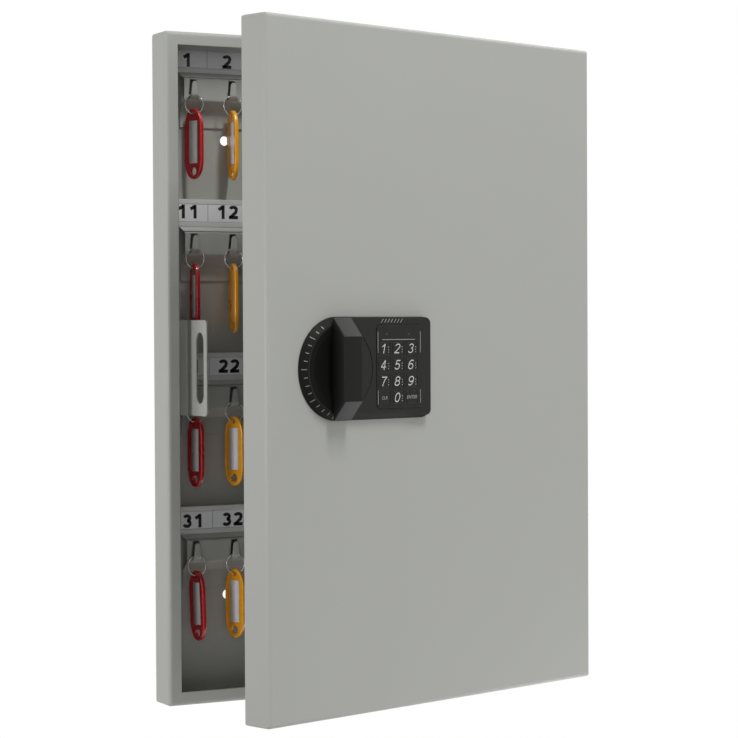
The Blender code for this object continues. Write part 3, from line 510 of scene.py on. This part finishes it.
def finish(
    name, colour, roughness, metallic=0.0, broad=12.0, fine=900.0, spread=0.06, bump=0.04, rough_spread=0.1,
    edge=0.0008, edge_highlight=None, coat=0.0, specular=0.5,
):
    """A material whose colour and roughness drift with the grain, with soft edges and fine bump. An edge
    highlight, where given, is painted light: a lighter colour mixed in along edges and corners.
    """
    made = bpy.data.materials.new(name)
    made.use_nodes = True
    tree = made.node_tree
    shader = tree.nodes["Principled BSDF"]
    sizes = (("Broad", broad), ("Fine", fine), ("Spread", spread))
    grain = node(tree, "ShaderNodeGroup", sizes, node_tree=GRAIN)
    edges = node(tree, "ShaderNodeGroup", (("Radius", edge),), node_tree=EDGES)
    shade = node(
        tree, "ShaderNodeVectorMath", ((0, colour[:3]), ("Scale", grain.outputs["Tone"])), operation="SCALE"
    ).outputs["Vector"]
    # Painted highlight: edges and corners take a lighter colour.
    if edge_highlight:
        mix = node(tree, "ShaderNodeMix", data_type="RGBA")
        tree.links.new(edges.outputs["Mask"], mix.inputs["Factor"])
        tree.links.new(shade, mix.inputs["A"])
        mix.inputs["B"].default_value = edge_highlight
        shade = mix.outputs["Result"]
    tree.links.new(shade, shader.inputs["Base Color"])
    drift = math_node(tree, "MULTIPLY", grain.outputs["Patch"], rough_spread)
    tree.links.new(math_node(tree, "ADD", drift, roughness - rough_spread / 2), shader.inputs["Roughness"])
    rise = (
        ("Strength", bump), ("Distance", 0.0002), ("Height", grain.outputs["Height"]),
        ("Normal", edges.outputs["Normal"]),
    )
    lifted = node(tree, "ShaderNodeBump", rise)
    tree.links.new(lifted.outputs["Normal"], shader.inputs["Normal"])
    shader.inputs["Metallic"].default_value = metallic
    shader.inputs["Coat Weight"].default_value = coat
    shader.inputs["Specular IOR Level"].default_value = specular
    return made


# The lighter edge highlights below are painted light along edges and corners.
PAINT = finish("light grey powder coat", linear(168, 169, 163), 0.46, fine=1400.0, broad=9.0, spread=0.035,
               bump=0.10, edge=0.0012, edge_highlight=linear(176, 177, 171))
HOLDER = finish("pale label channel", linear(208, 209, 207), 0.42, fine=700.0, bump=0.03)
HOUSING = finish("black moulded housing", linear(29, 29, 27), 0.42, fine=1600.0, bump=0.12,
                 edge_highlight=linear(54, 54, 52), specular=0.18)
SKIRT = finish("black knob", linear(23, 23, 22), 0.36, fine=1500.0, bump=0.08,
               edge_highlight=linear(48, 48, 47), specular=0.12)
# Painted shade: the knob's hollow side takes a darker, matter black than the rest of the knob.
DISH_SHADE = finish("matt black with painted hollow shade", linear(18, 18, 17), 0.5, fine=1500.0, bump=0.08, specular=0.08)
# Painted shade: the slope round the lock takes a darker, duller copy of the housing black.
SLOPE_SHADE = finish("dull black with painted slope shade", linear(25, 25, 23), 0.5, fine=1500.0, bump=0.08, specular=0.08)
FILM = finish("black keypad film", linear(29, 29, 27), 0.42, fine=1600.0, bump=0.10, specular=0.17)
KEYCAP = finish("black keys", linear(29, 29, 27), 0.42, fine=1600.0, bump=0.10, edge=0.0001, specular=0.17)
CASE = finish("black lock case", linear(40, 40, 40), 0.5, fine=900.0, bump=0.15,
              edge_highlight=linear(66, 66, 66))
STEEL = finish("zinc plated steel", linear(196, 197, 194), 0.3, metallic=1.0, broad=60.0, fine=500.0,
               spread=0.25, bump=0.03, rough_spread=0.2)
WIRE = finish("bright ring wire", linear(214, 214, 212), 0.22, metallic=1.0, broad=80.0, spread=0.15,
              bump=0.02)
BOARD = finish("green circuit board", linear(20, 78, 44), 0.4, broad=300.0, spread=0.5, fine=300.0, bump=0.2)
CELL = finish("battery wrap", linear(52, 56, 60), 0.3, broad=40.0, spread=0.2, bump=0.02)
RED = finish("red tag plastic", linear(186, 22, 30), 0.28, broad=40.0, spread=0.10, fine=700.0, bump=0.03,
             edge_highlight=linear(208, 48, 52), coat=0.25)
YELLOW = finish("orange yellow tag plastic", linear(232, 158, 22), 0.28, broad=40.0, spread=0.08,
                fine=700.0, bump=0.03, edge_highlight=linear(244, 184, 60), coat=0.25)
PAPER = finish("paper card", linear(226, 226, 228), 0.55, broad=30.0, spread=0.03, fine=2500.0, bump=0.06)
SLIP = finish("tag paper", linear(226, 226, 227), 0.4, broad=50.0, spread=0.04, fine=2500.0, bump=0.04,
              coat=0.3)
INK = finish("black print", linear(22, 22, 24), 0.5, bump=0.02)
RULE = finish("grey rule print", linear(150, 151, 152), 0.5, bump=0.02)
LEGEND = finish("white key print", linear(206, 206, 204), 0.45, bump=0.02)
DIM = finish("grey key print", linear(150, 150, 148), 0.45, bump=0.02)
SILVER = finish("silver line print", linear(158, 158, 156), 0.35, bump=0.02, spread=0.1)
LAMP = finish("dark lamp window", linear(34, 52, 40), 0.2, bump=0.01)

# The record's slot of each finish that has one
SLOTS = {PAINT.name: "paint", RED.name: "red_plastic", YELLOW.name: "yellow_plastic"}
SLOTS |= {made.name: "black_plastic" for made in (HOUSING, SKIRT, DISH_SHADE, SLOPE_SHADE)}
SLOTS |= {made.name: "steel" for made in (STEEL, WIRE)}

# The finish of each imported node, by the start of its name. The first that fits is taken.
LOOKS = {
    "cabinet_body": PAINT, "door_panel": PAINT, "hook_rail": PAINT, "strike_bracket": PAINT,
    "hinge_leaf": PAINT, "label_strip": HOLDER, "hinge_pin": STEEL, "lock_housing": HOUSING,
    "keypad_panel": FILM, "lock_case": CASE, "circuit_board": BOARD, "solenoid": STEEL, "battery_tray": CASE,
    "battery_cover": CASE, "battery_": CELL, "knob": SKIRT, "spindle": STEEL, "bolt_cam": STEEL,
    "lock_bolt": STEEL, "key_ring": WIRE, "key_tag": RED, "key_": KEYCAP,
}
for node_name, obj in nodes.items():
    look = next(look for start, look in LOOKS.items() if node_name.startswith(start))
    obj.data.materials.clear()
    obj.data.materials.append(look)


# Printed cards


def flat_strip(left, right, low, high, front, back):
    """A thin box, as a ring of four corners between two depths along Y."""
    ring = np.array(((left, low), (right, low), (right, high), (left, high)), float)
    return [walls([ring, ring], [front, back]), cap([ring], front), cap([ring], back)]


def card_row(row):
    """A card in one holder, with its rules and numbers.

    Its side view has thin edges under the holder's lips and a raised middle that fills the window between
    them, and is carried along the rail.
    """
    z = ROWS[row]
    side = np.array((
        (CARD_BACK, -CARD_HALF), (CARD_BACK, CARD_HALF), (CARD_LEDGE, CARD_HALF),
        (CARD_LEDGE, CARD_WINDOW), (CARD_FACE, CARD_WINDOW), (CARD_FACE, -CARD_WINDOW),
        (CARD_LEDGE, -CARD_WINDOW), (CARD_LEDGE, -CARD_HALF),
    ))

    def lengthwise(points):
        """Swaps the first two axes, so that the side view is carried along X, and lifts it to its row."""
        return np.stack((points[:, 1], points[:, 0], points[:, 2] + z), 1)

    ends = (-CARD_END, CARD_END)
    parts = [walls([side, side], ends), cap([side], ends[0]), cap([side], ends[1])]
    piece(f"card_{row + 1}", [(lengthwise(points), faces) for points, faces in parts], PAPER, "cabinet")
    shift, lift = CARD_SHIFT[row]
    half, reach = CARD_RULE
    rules = []
    for k in range(1, COLUMNS):
        x = -CARD_REACH + k * CARD_PITCH + shift
        rules += flat_strip(x - half, x + half, z - reach, z + reach, CARD_FACE - PRINT, CARD_FACE)
    piece(f"card_rules_{row + 1}", rules, RULE, "cabinet")
    digits = []
    for k in range(COLUMNS):
        place = (-CARD_REACH + (k + 0.5) * CARD_PITCH + shift, CARD_FACE, z + lift)
        number = str(row * COLUMNS + k + 1)
        digits += [shifted(part, place) for part in figures(number, **CARD_FIGURE)]
    piece(f"card_numbers_{row + 1}", digits, INK, "cabinet")


def rail_ramp(row):
    """A slope from the label's foot to the hook face: a wedge carried along the rail to slanted ends."""
    y, z = RAMP_SIDE.T
    reach = RAIL_END + RAIL_SLANT * (z - SLANT_LOW) / SLANT_RISE
    ends = [np.stack((side * reach, y, z + ROWS[row]), 1) for side in (-1, 1)]
    piece(f"rail_ramp_{row + 1}", closed(np.stack(ends)), PAINT, "cabinet")


for row in range(len(ROWS)):
    card_row(row)
    rail_ramp(row)


# Tags and rings


def split_ring(top):
    """Wire wound twice round a circle, by the turn's angle and the angle round the wire.

    The wire thins to a round tip at both ends, and steps aside by its thickness half way along.
    """
    around = RING_TURNS * math.tau
    t = np.linspace(0, around, RING_STEPS + 1)[:, None] + RING_START
    a = np.linspace(0, math.tau, RING_SIDES, endpoint=False)[None, :]
    run = (t - t[0]) / around
    wire = RING_WIRE * np.clip(np.minimum(run, 1 - run) * TIP_RATE, 0.02, 1) ** 0.5
    reach = RING_R + wire * np.cos(a)
    step = 2 * RING_WIRE / (1 + np.exp(-STEP_RATE * (run - 0.5))) - RING_WIRE
    points = np.stack((reach * np.sin(t), step + wire * np.sin(a), reach * np.cos(t)), -1)
    return closed(points + np.array((top[0], top[1], top[2] - RING_R)))


def tag_outline(steps=20):
    """A strip whose two ends are half ellipses, as one closed ring of points."""
    return np.concatenate((
        oval(0, TAG_HEAD - TAG_END, TAG_HALF, TAG_END, 0, 180, steps),
        oval(0, TAG_TAIL + TAG_END, TAG_HALF, TAG_END, 180, 360, steps),
    ))


def tag_body():
    """The outline carried through a rim's profile on both faces, with two holes and a sunk window between."""
    near = [(inset, -depth) for inset, depth in TAG_LIP]
    near += [(inset, -TAG_FACE + drop) for inset, drop in edge_round(TAG_EDGE, 5)]
    steps = near + [(inset, -depth) for inset, depth in near[::-1]]
    outline = tag_outline()
    sides = [drawn_in(outline, inset) for inset, _ in steps]
    parts = [walls(sides, [depth for _, depth in steps])]
    holes = [oval(0, height, radius, radius, 0, 345, 23) for height, radius in (TAG_EYE, TAG_HOLE)]
    lips = [drawn_in(ring, -HOLE_LIP) for ring in holes]
    inside = TAG_FLOOR - HOLE_LIP
    for ring, lip in zip(holes, lips):
        parts.append(walls([lip, ring, ring, lip], [-TAG_FLOOR, -inside, inside, TAG_FLOOR]))
    window = rounded(0, SLIP_MIDDLE, *WINDOW_SIZE)
    sill = drawn_in(window, -WINDOW_SILL)
    parts.append(walls([sill, window, window], [-TAG_FLOOR, -TAG_FLOOR + SILL_DROP, -SLIP_FLOOR]))
    parts.append(cap([window], -SLIP_FLOOR))
    parts.append(cap([sides[0], *lips, sill], -TAG_FLOOR))
    parts.append(cap([sides[-1], *lips], TAG_FLOOR))
    return parts


def hang_tag(row, column, colour):
    """A ring on its hook, and below it a tag with its slip, tilted and then turned about the vertical."""
    top = np.array((HOOKS[column], RING_Y, ROWS[row] + RING_TOP))
    body = f"tag_{row + 1}_{column + 1}"
    ring = piece(f"split_ring_{row + 1}_{column + 1}", split_ring(top), WIRE, body)
    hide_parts(f"key_ring_{row + 1}_{column + 1}")
    yaw = Matrix.Rotation(math.radians(TAG_YAW[row][column]), 3, "Z")
    turn = np.array(yaw @ Matrix.Rotation(math.radians(TAG_TILT.get((row, column), 0.0)), 3, "Y"))
    flip = np.array((-1, -1, 1) if (row, column) in TAG_TURNED else (1, 1, 1))

    def hung(points):
        """Turns points about the tag's top and hangs them in the ring."""
        return points * flip @ turn.T + top - np.array((0, 0, TAG_DROP))

    tag = piece(f"tag_{row + 1}_{column + 1}_body", tag_body(), colour, body, place=hung, sharp=32)
    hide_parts(f"key_tag_{row + 1}_{column + 1}")
    slip = slab(rounded(0, SLIP_MIDDLE, *SLIP_SIZE), -SLIP_FACE, -SLIP_BACK, SLIP_EDGE)
    piece(f"tag_{row + 1}_{column + 1}_slip", slip, SLIP, body, place=hung)


for row in range(len(ROWS)):
    for column, colour in enumerate((RED, YELLOW)):
        hang_tag(row, column, colour)


# Lock shell and knob


def lock_rings():
    """The lock's outline on the door, and the ring on its front where the slope round the lock ends.

    The slope widens from the top of the round end, keeps its width along the foot, and narrows to a thin
    rim round the lower corner.
    """
    foot = np.linspace(*FOOT_RUN, FOOT_STEPS + 1)
    level = SHELL_R - SHELL_CORNER
    outline = LOCK_FLAT + np.concatenate((
        arc(0, 0, SHELL_R, 90, 270, ROUND_STEPS),
        np.stack((foot, np.full(len(foot), -SHELL_R)), 1),
        arc(SHELL_END, -level, SHELL_CORNER, 270, 360, CORNER_STEPS),
        arc(SHELL_END, level, SHELL_CORNER, 0, 90, CORNER_STEPS),
    ))
    grow = np.clip(np.linspace(0, 180, ROUND_STEPS + 1) / SLOPE_GROWS, 0, 1)
    fade = np.interp(foot, (SLOPE_FADES, FOOT_RUN[1]), (1, SLOPE_LEFT))
    lower = np.linspace(SLOPE_LEFT, 0, CORNER_STEPS + 1)
    share = np.concatenate((grow**2 * (3 - 2 * grow), fade, lower, np.zeros(CORNER_STEPS + 1)))
    return outline, drawn_in(outline, SHELL_RIM + (CHAMFER - SHELL_RIM) * share[:, None])


def lock_slope():
    """The outline carried up a slope to the front, and straight down to the back behind it."""
    outline, crest = lock_rings()
    depths = [SHELL_BACK, SHELL_FOOT, HOUSING_FACE, SHELL_BACK, SHELL_BACK]
    return [walls([outline, outline, crest, crest, outline], depths)]


def lock_shell():
    """A flat front inside the slope, sunk for the knob, the film and the keys."""
    crest = lock_rings()[1]
    pocket, bore = (LOCK_FLAT + arc(0, 0, radius, 0, 356, 89) for radius in (POCKET_R, BORE_R))
    seat, room = (LOCK_FLAT + rounded(*sizes) for sizes in (SEAT, KEY_ROOM))
    return [
        walls([crest, crest], [SHELL_BACK, HOUSING_FACE]), cap([crest, pocket, seat], HOUSING_FACE),
        walls([pocket, pocket], [HOUSING_FACE, HOUSING_FLOOR]), cap([pocket, bore], HOUSING_FLOOR),
        walls([seat, seat], [HOUSING_FACE, SEAT_FLOOR]), cap([seat, room], SEAT_FLOOR),
        walls([room, room], [SEAT_FLOOR, HOUSING_FLOOR]), cap([room], HOUSING_FLOOR),
        walls([bore, bore], [HOUSING_FLOOR, SHELL_BACK]), cap([crest, bore], SHELL_BACK),
    ]


shell = piece("lock_shell", lock_shell(), HOUSING, "door", place=shut_to_open, sharp=25)
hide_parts("lock_housing")
# The slope is darker than the flat front as painted shade.
piece("lock_slope", lock_slope(), SLOPE_SHADE, "door", place=shut_to_open, sharp=25)


def knob_skirt(start, stop):
    """Half a disc about the spindle, by the angle and the distance from the middle.

    On the left of the grip its depth falls from the rim to a low bead, and behind that to a hollow.
    """
    a = np.radians(np.linspace(start, stop, 65))[:, None]
    r = np.linspace(SKIRT_BORE, SKIRT_R, 49)[None, :]
    left = 1 / (1 + np.exp(r * np.cos(a) / HOLLOW_SIDE))
    sink = HOLLOW * np.sin(np.clip((BEAD_R - r) / HOLLOW_RUN, 0, 1) * math.pi / 2) ** 1.2
    fall = RIM_FALL * (SKIRT_R - r).clip(0, SKIRT_R - BEAD_R)
    bead = BEAD_RISE * np.exp(-(((r - BEAD_R) / BEAD_WIDTH) ** 2))
    depth = SKIRT_FACE + left * (sink + fall - bead)
    front = np.stack(np.broadcast_arrays(r * np.cos(a), depth, r * np.sin(a)), -1)
    reach, deep = np.array(SKIRT_SIDE).T
    back = np.stack(np.broadcast_arrays(reach * np.cos(a), deep, reach * np.sin(a)), -1)
    return [shifted(part, LOCK) for part in closed(np.concatenate((front, back), 1))]


def knob_bar():
    """A grip's side outline carried across its width, drawn in by a quarter circle at both sides."""
    steps = [(inset, -GRIP_HALF + drop) for inset, drop in edge_round(GRIP_EDGE, 5)]
    steps += [(inset, -across) for inset, across in steps[::-1]]
    rings = [drawn_in(GRIP_SIDE, inset * GRIP_DRAW) for inset, _ in steps]
    parts = [walls(rings, [across for _, across in steps])]
    parts += [cap([rings[end]], steps[end][1]) for end in (0, -1)]

    def crosswise(points):
        """Swaps the first two axes, so that the side view is carried along X, and moves it to the knob."""
        return np.stack((points[:, 1] + LOCK[0], points[:, 0], points[:, 2] + LOCK[2]), 1)

    return [(crosswise(points), faces) for points, faces in parts]


# The left half, round the hollow, is darker as painted shade; the right half takes the housing's black.
skirt = piece("knob_skirt", knob_skirt(90, 270), DISH_SHADE, "knob_body", place=shut_to_open, sharp=30)
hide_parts("knob")
piece("knob_cheek", knob_skirt(-90, 90), HOUSING, "knob_body", place=shut_to_open, sharp=30)
piece("knob_grip", knob_bar(), SKIRT, "knob_body", place=shut_to_open, sharp=25)


# Keypad print


def key_place(index):
    """The middle of a key, counted in rows of three from the top left, as (x, z)."""
    across, up = KEY_PITCH
    x = LOCK[0] + KEY_ROOM[0] + (index % 3 - 1) * across
    return x, LOCK[2] + KEY_ROOM[1] + (1.5 - index // 3) * up


def dots(x, z, count, pitch, radius, face):
    """A column of small raised discs."""
    parts = []
    for k in range(count):
        ring = arc(x, z + (k - (count - 1) / 2) * pitch, radius, 0, 360 - 36, 9)
        top = face - MARK_RISE
        parts += [walls([ring, ring], [top, face]), cap([ring], top), cap([ring], face)]
    return parts


def key_print(index, name):
    """A key's word, or its figure with three raised dots at its right."""
    x, z = key_place(index)
    if name in KEY_WORDS:
        ink = DIM
        words, height = KEY_WORDS[name]
        parts = [shifted(lettering(words, height, **WORD_STYLE), (x, KEY_FACE, z))]
    else:
        ink = LEGEND
        place = (x + FIGURE_ASIDE, KEY_FACE, z)
        parts = [shifted(part, place) for part in figures(name, **KEY_FIGURE)]
        parts += dots(x + DOTS_ASIDE[0], z + DOTS_ASIDE[1], face=KEY_FACE, **KEY_DOTS)
    piece(f"legend_{name}", parts, ink, f"button_{name}", place=shut_to_open)


for index, name in enumerate(KEYS):
    key_print(index, name)


# Silver lines on the lock


def lock_front(x, z):
    """Depth of the lock's front: level in the middle, and falling evenly over the slope near the outline."""
    inset = SHELL_R - np.where(x < 0, np.hypot(x, z), np.abs(z))
    return np.interp(inset, (0, CHAMFER), (SHELL_FOOT, HOUSING_FACE))


def line(x0, z0, x1, z1, face=None):
    """A flat straight line: a thin strip along its two ends, on the shell or at a given depth."""
    a, b = np.array((x0, z0), float), np.array((x1, z1), float)
    along = b - a
    side = np.array((-along[1], along[0])) / np.linalg.norm(along) * MARK_WIDTH / 2
    x, z = np.stack((a - side, b - side, b + side, a + side)).T
    depth = lock_front(x, z) if face is None else np.full(4, face)
    rows = [np.stack((x + LOCK[0], depth - rise, z + LOCK[2]), 1) for rise in (MARK_RISE, 0.0)]
    return closed(np.stack(rows))


def lock_marks():
    """Ticks that point at the knob's axis, every fourth one longer, and a row of slanted strokes."""
    parts = []
    for step, angle in enumerate(TICK_ANGLES):
        far = TICK_LONG if step % 4 == 2 else TICK_FAR
        c, s = math.cos(math.radians(angle)), math.sin(math.radians(angle))
        parts += line(TICK_NEAR * c, TICK_NEAR * s, far * c, far * s)
    low, high = STROKE_SPAN
    for step in range(STROKE_COUNT):
        x = STROKE_START + STROKE_PITCH * step
        parts += line(x, low, x + STROKE_LEAN, high, HOUSING_FACE)
    return parts


def keypad_rules():
    """A rule above the keys, and two upright ones at each side of them."""
    parts = line(*RULE_ABOVE, PANEL_FACE)
    for x in RULE_SIDES:
        for low, high in RULE_SPANS:
            parts += line(x, low, x, high, PANEL_FACE)
    return parts


piece("lock_lines", lock_marks(), SILVER, "door", place=shut_to_open)
piece("keypad_lines", keypad_rules(), SILVER, "door", place=shut_to_open)
lamps = []
for x, z in LAMP_PLACES:
    lamps += dots(LOCK[0] + x, LOCK[2] + z, face=PANEL_FACE, **LAMP_DOT)
piece("keypad_lamps", lamps, LAMP, "door", place=shut_to_open)


# Screws


def screw_head(radius, rise):
    """A domed head over a disc: an arch of the distance from the middle, less a cross near the two axes."""
    r = np.linspace(0, 1, 14)[:, None] ** 0.8
    a = np.linspace(0, math.tau, 48, endpoint=False)[None, :]
    x, y = r * np.cos(a), r * np.sin(a)
    dome = np.sqrt(np.clip(1 - 0.92 * r**2, 0, 1))
    arm = np.minimum(np.abs(x), np.abs(y))
    cut = 1 / (1 + np.exp((arm - 0.11) * 60)) / (1 + np.exp((r - 0.58) * 40))
    height = rise * dome - 0.45 * rise * cut
    top = np.stack((x * radius, y * radius, height), -1)
    foot = np.stack((x[-1] * radius, y[-1] * radius, 0 * x[-1]), -1)[None]
    grid, faces = surface(np.concatenate((top, foot)))
    return [(grid, faces), (grid, np.arange(len(grid) - foot.shape[1], len(grid))[None])]


def screws(name, places, way, radius, rise, body, place=None):
    """Heads at points, standing up along one direction."""
    turn = np.array(Vector(way).to_track_quat("Z", "Y").to_matrix())
    head = screw_head(radius, rise)
    parts = [(points @ turn.T + np.array(p, float), faces) for p in places for points, faces in head]
    piece(name, parts, STEEL, body, place=place, sharp=50)


def hinge_heads(level, aside):
    """Three heads up one leaf of a hinge, at a distance behind its axis or in front of it."""
    return [(HINGE_FACE, HINGE[1] + aside, level + step) for step in HINGE_STEPS]


for word, level in HINGE_LEVELS:
    screws(f"hinge_screws_frame_{word}", hinge_heads(level, LEAF_ASIDE), (1, 0, 0), *HINGE_SCREW, "cabinet")
    screws(
        f"hinge_screws_door_{word}", hinge_heads(level, -LEAF_ASIDE), (1, 0, 0), *HINGE_SCREW, "door",
        place=shut_to_open,
    )
screws("case_screws", CASE_PLACES, (0, 1, 0), *CASE_SCREW, "door", place=shut_to_open)
screws("strike_screws", STRIKE_PLACES, (1, 0, 0), *STRIKE_SCREW, "cabinet")


# Stage, light and camera


def add_floor():
    """A square grid drawn onto a disc: each coordinate shrinks as the other grows. Its rim fades to white."""
    u, v = np.meshgrid(np.linspace(-1, 1, 33), np.linspace(-1, 1, 33), indexing="ij")
    x, y = FLOOR_R * u * np.sqrt(1 - v**2 / 2), FLOOR_R * v * np.sqrt(1 - u**2 / 2)
    points, faces = surface(np.stack((x, y, np.full(u.shape, FLOOR_Z)), -1), wrap=False)
    mesh = bpy.data.meshes.new("floor")
    mesh.from_pydata(points.tolist(), [], faces.tolist())
    obj = bpy.data.objects.new("floor", mesh)
    bpy.context.scene.collection.objects.link(obj)
    look = finish("pale floor", linear(244, 244, 243), 0.7, spread=0.01, bump=0.0, edge=0.0001)
    tree = look.node_tree
    rays = node(tree, "ShaderNodeLightPath").outputs
    where = node(tree, "ShaderNodeTexCoord").outputs["Object"]
    level = node(tree, "ShaderNodeVectorMath", ((0, where), (1, (1, 1, 0))), operation="MULTIPLY")
    far = node(tree, "ShaderNodeVectorMath", ((0, level.outputs["Vector"]),), operation="LENGTH")
    past = math_node(tree, "SUBTRACT", far.outputs["Value"], 0.4 * FLOOR_R)
    rim = math_node(tree, "MULTIPLY", past, 2 / FLOOR_R, clamp=True)
    seen = math_node(tree, "MULTIPLY", rim, rays["Is Camera Ray"])
    for kind in ("Is Glossy Ray", "Is Transmission Ray"):
        seen = math_node(tree, "ADD", seen, rays[kind], clamp=True)
    white = node(tree, "ShaderNodeEmission", (("Color", (1, 1, 1, 1)), ("Strength", 1.0))).outputs[0]
    plain = tree.nodes["Principled BSDF"].outputs[0]
    mix = node(tree, "ShaderNodeMixShader", (("Fac", seen), (1, plain), (2, white)))
    tree.links.new(mix.outputs[0], tree.nodes["Material Output"].inputs["Surface"])
    mesh.materials.append(look)


def add_light(name, place, aim, size, power):
    """A soft rectangular lamp that looks at a point."""
    data = bpy.data.lights.new(name, "AREA")
    data.shape = "RECTANGLE"
    data.size, data.size_y = size
    data.energy = power
    obj = bpy.data.objects.new(name, data)
    bpy.context.scene.collection.objects.link(obj)
    obj.location = place
    obj.rotation_euler = (Vector(aim) - Vector(place)).to_track_quat("-Z", "Y").to_euler()


def add_world():
    """White where the camera, a gloss or a glass sees it, and a soft grey light for the rest."""
    world = bpy.data.worlds.new("studio")
    world.use_nodes = True
    bpy.context.scene.world = world
    tree = world.node_tree
    tree.nodes.clear()
    rays = node(tree, "ShaderNodeLightPath").outputs
    seen = math_node(tree, "ADD", rays["Is Camera Ray"], rays["Is Transmission Ray"], clamp=True)
    seen = math_node(tree, "ADD", seen, rays["Is Glossy Ray"], clamp=True)
    soft = node(tree, "ShaderNodeBackground", (("Color", (0.97, 0.98, 1.0, 1.0)), ("Strength", SOFT_LIGHT)))
    white = node(tree, "ShaderNodeBackground", (("Color", (1, 1, 1, 1)), ("Strength", 1.0)))
    mix = node(tree, "ShaderNodeMixShader", (("Fac", seen), (1, soft.outputs[0]), (2, white.outputs[0])))
    node(tree, "ShaderNodeOutputWorld", (("Surface", mix.outputs[0]),))


def add_camera():
    """The photograph's view: a place, a point to look at, and a slight roll."""
    data = bpy.data.cameras.new("camera")
    data.sensor_width = 36
    data.lens = CAMERA_LENS
    obj = bpy.data.objects.new("camera", data)
    bpy.context.scene.collection.objects.link(obj)
    turn = (CAMERA_AIM - CAMERA_PLACE).to_track_quat("-Z", "Y").to_matrix()
    roll = Matrix.Rotation(CAMERA_ROLL, 3, "Z")
    obj.matrix_world = Matrix.Translation(CAMERA_PLACE) @ (turn @ roll).to_4x4()
    bpy.context.scene.camera = obj


add_floor()
add_world()
for light in LIGHTS:
    add_light(*light)
add_camera()
bpy.context.scene.view_settings.view_transform = "Standard"
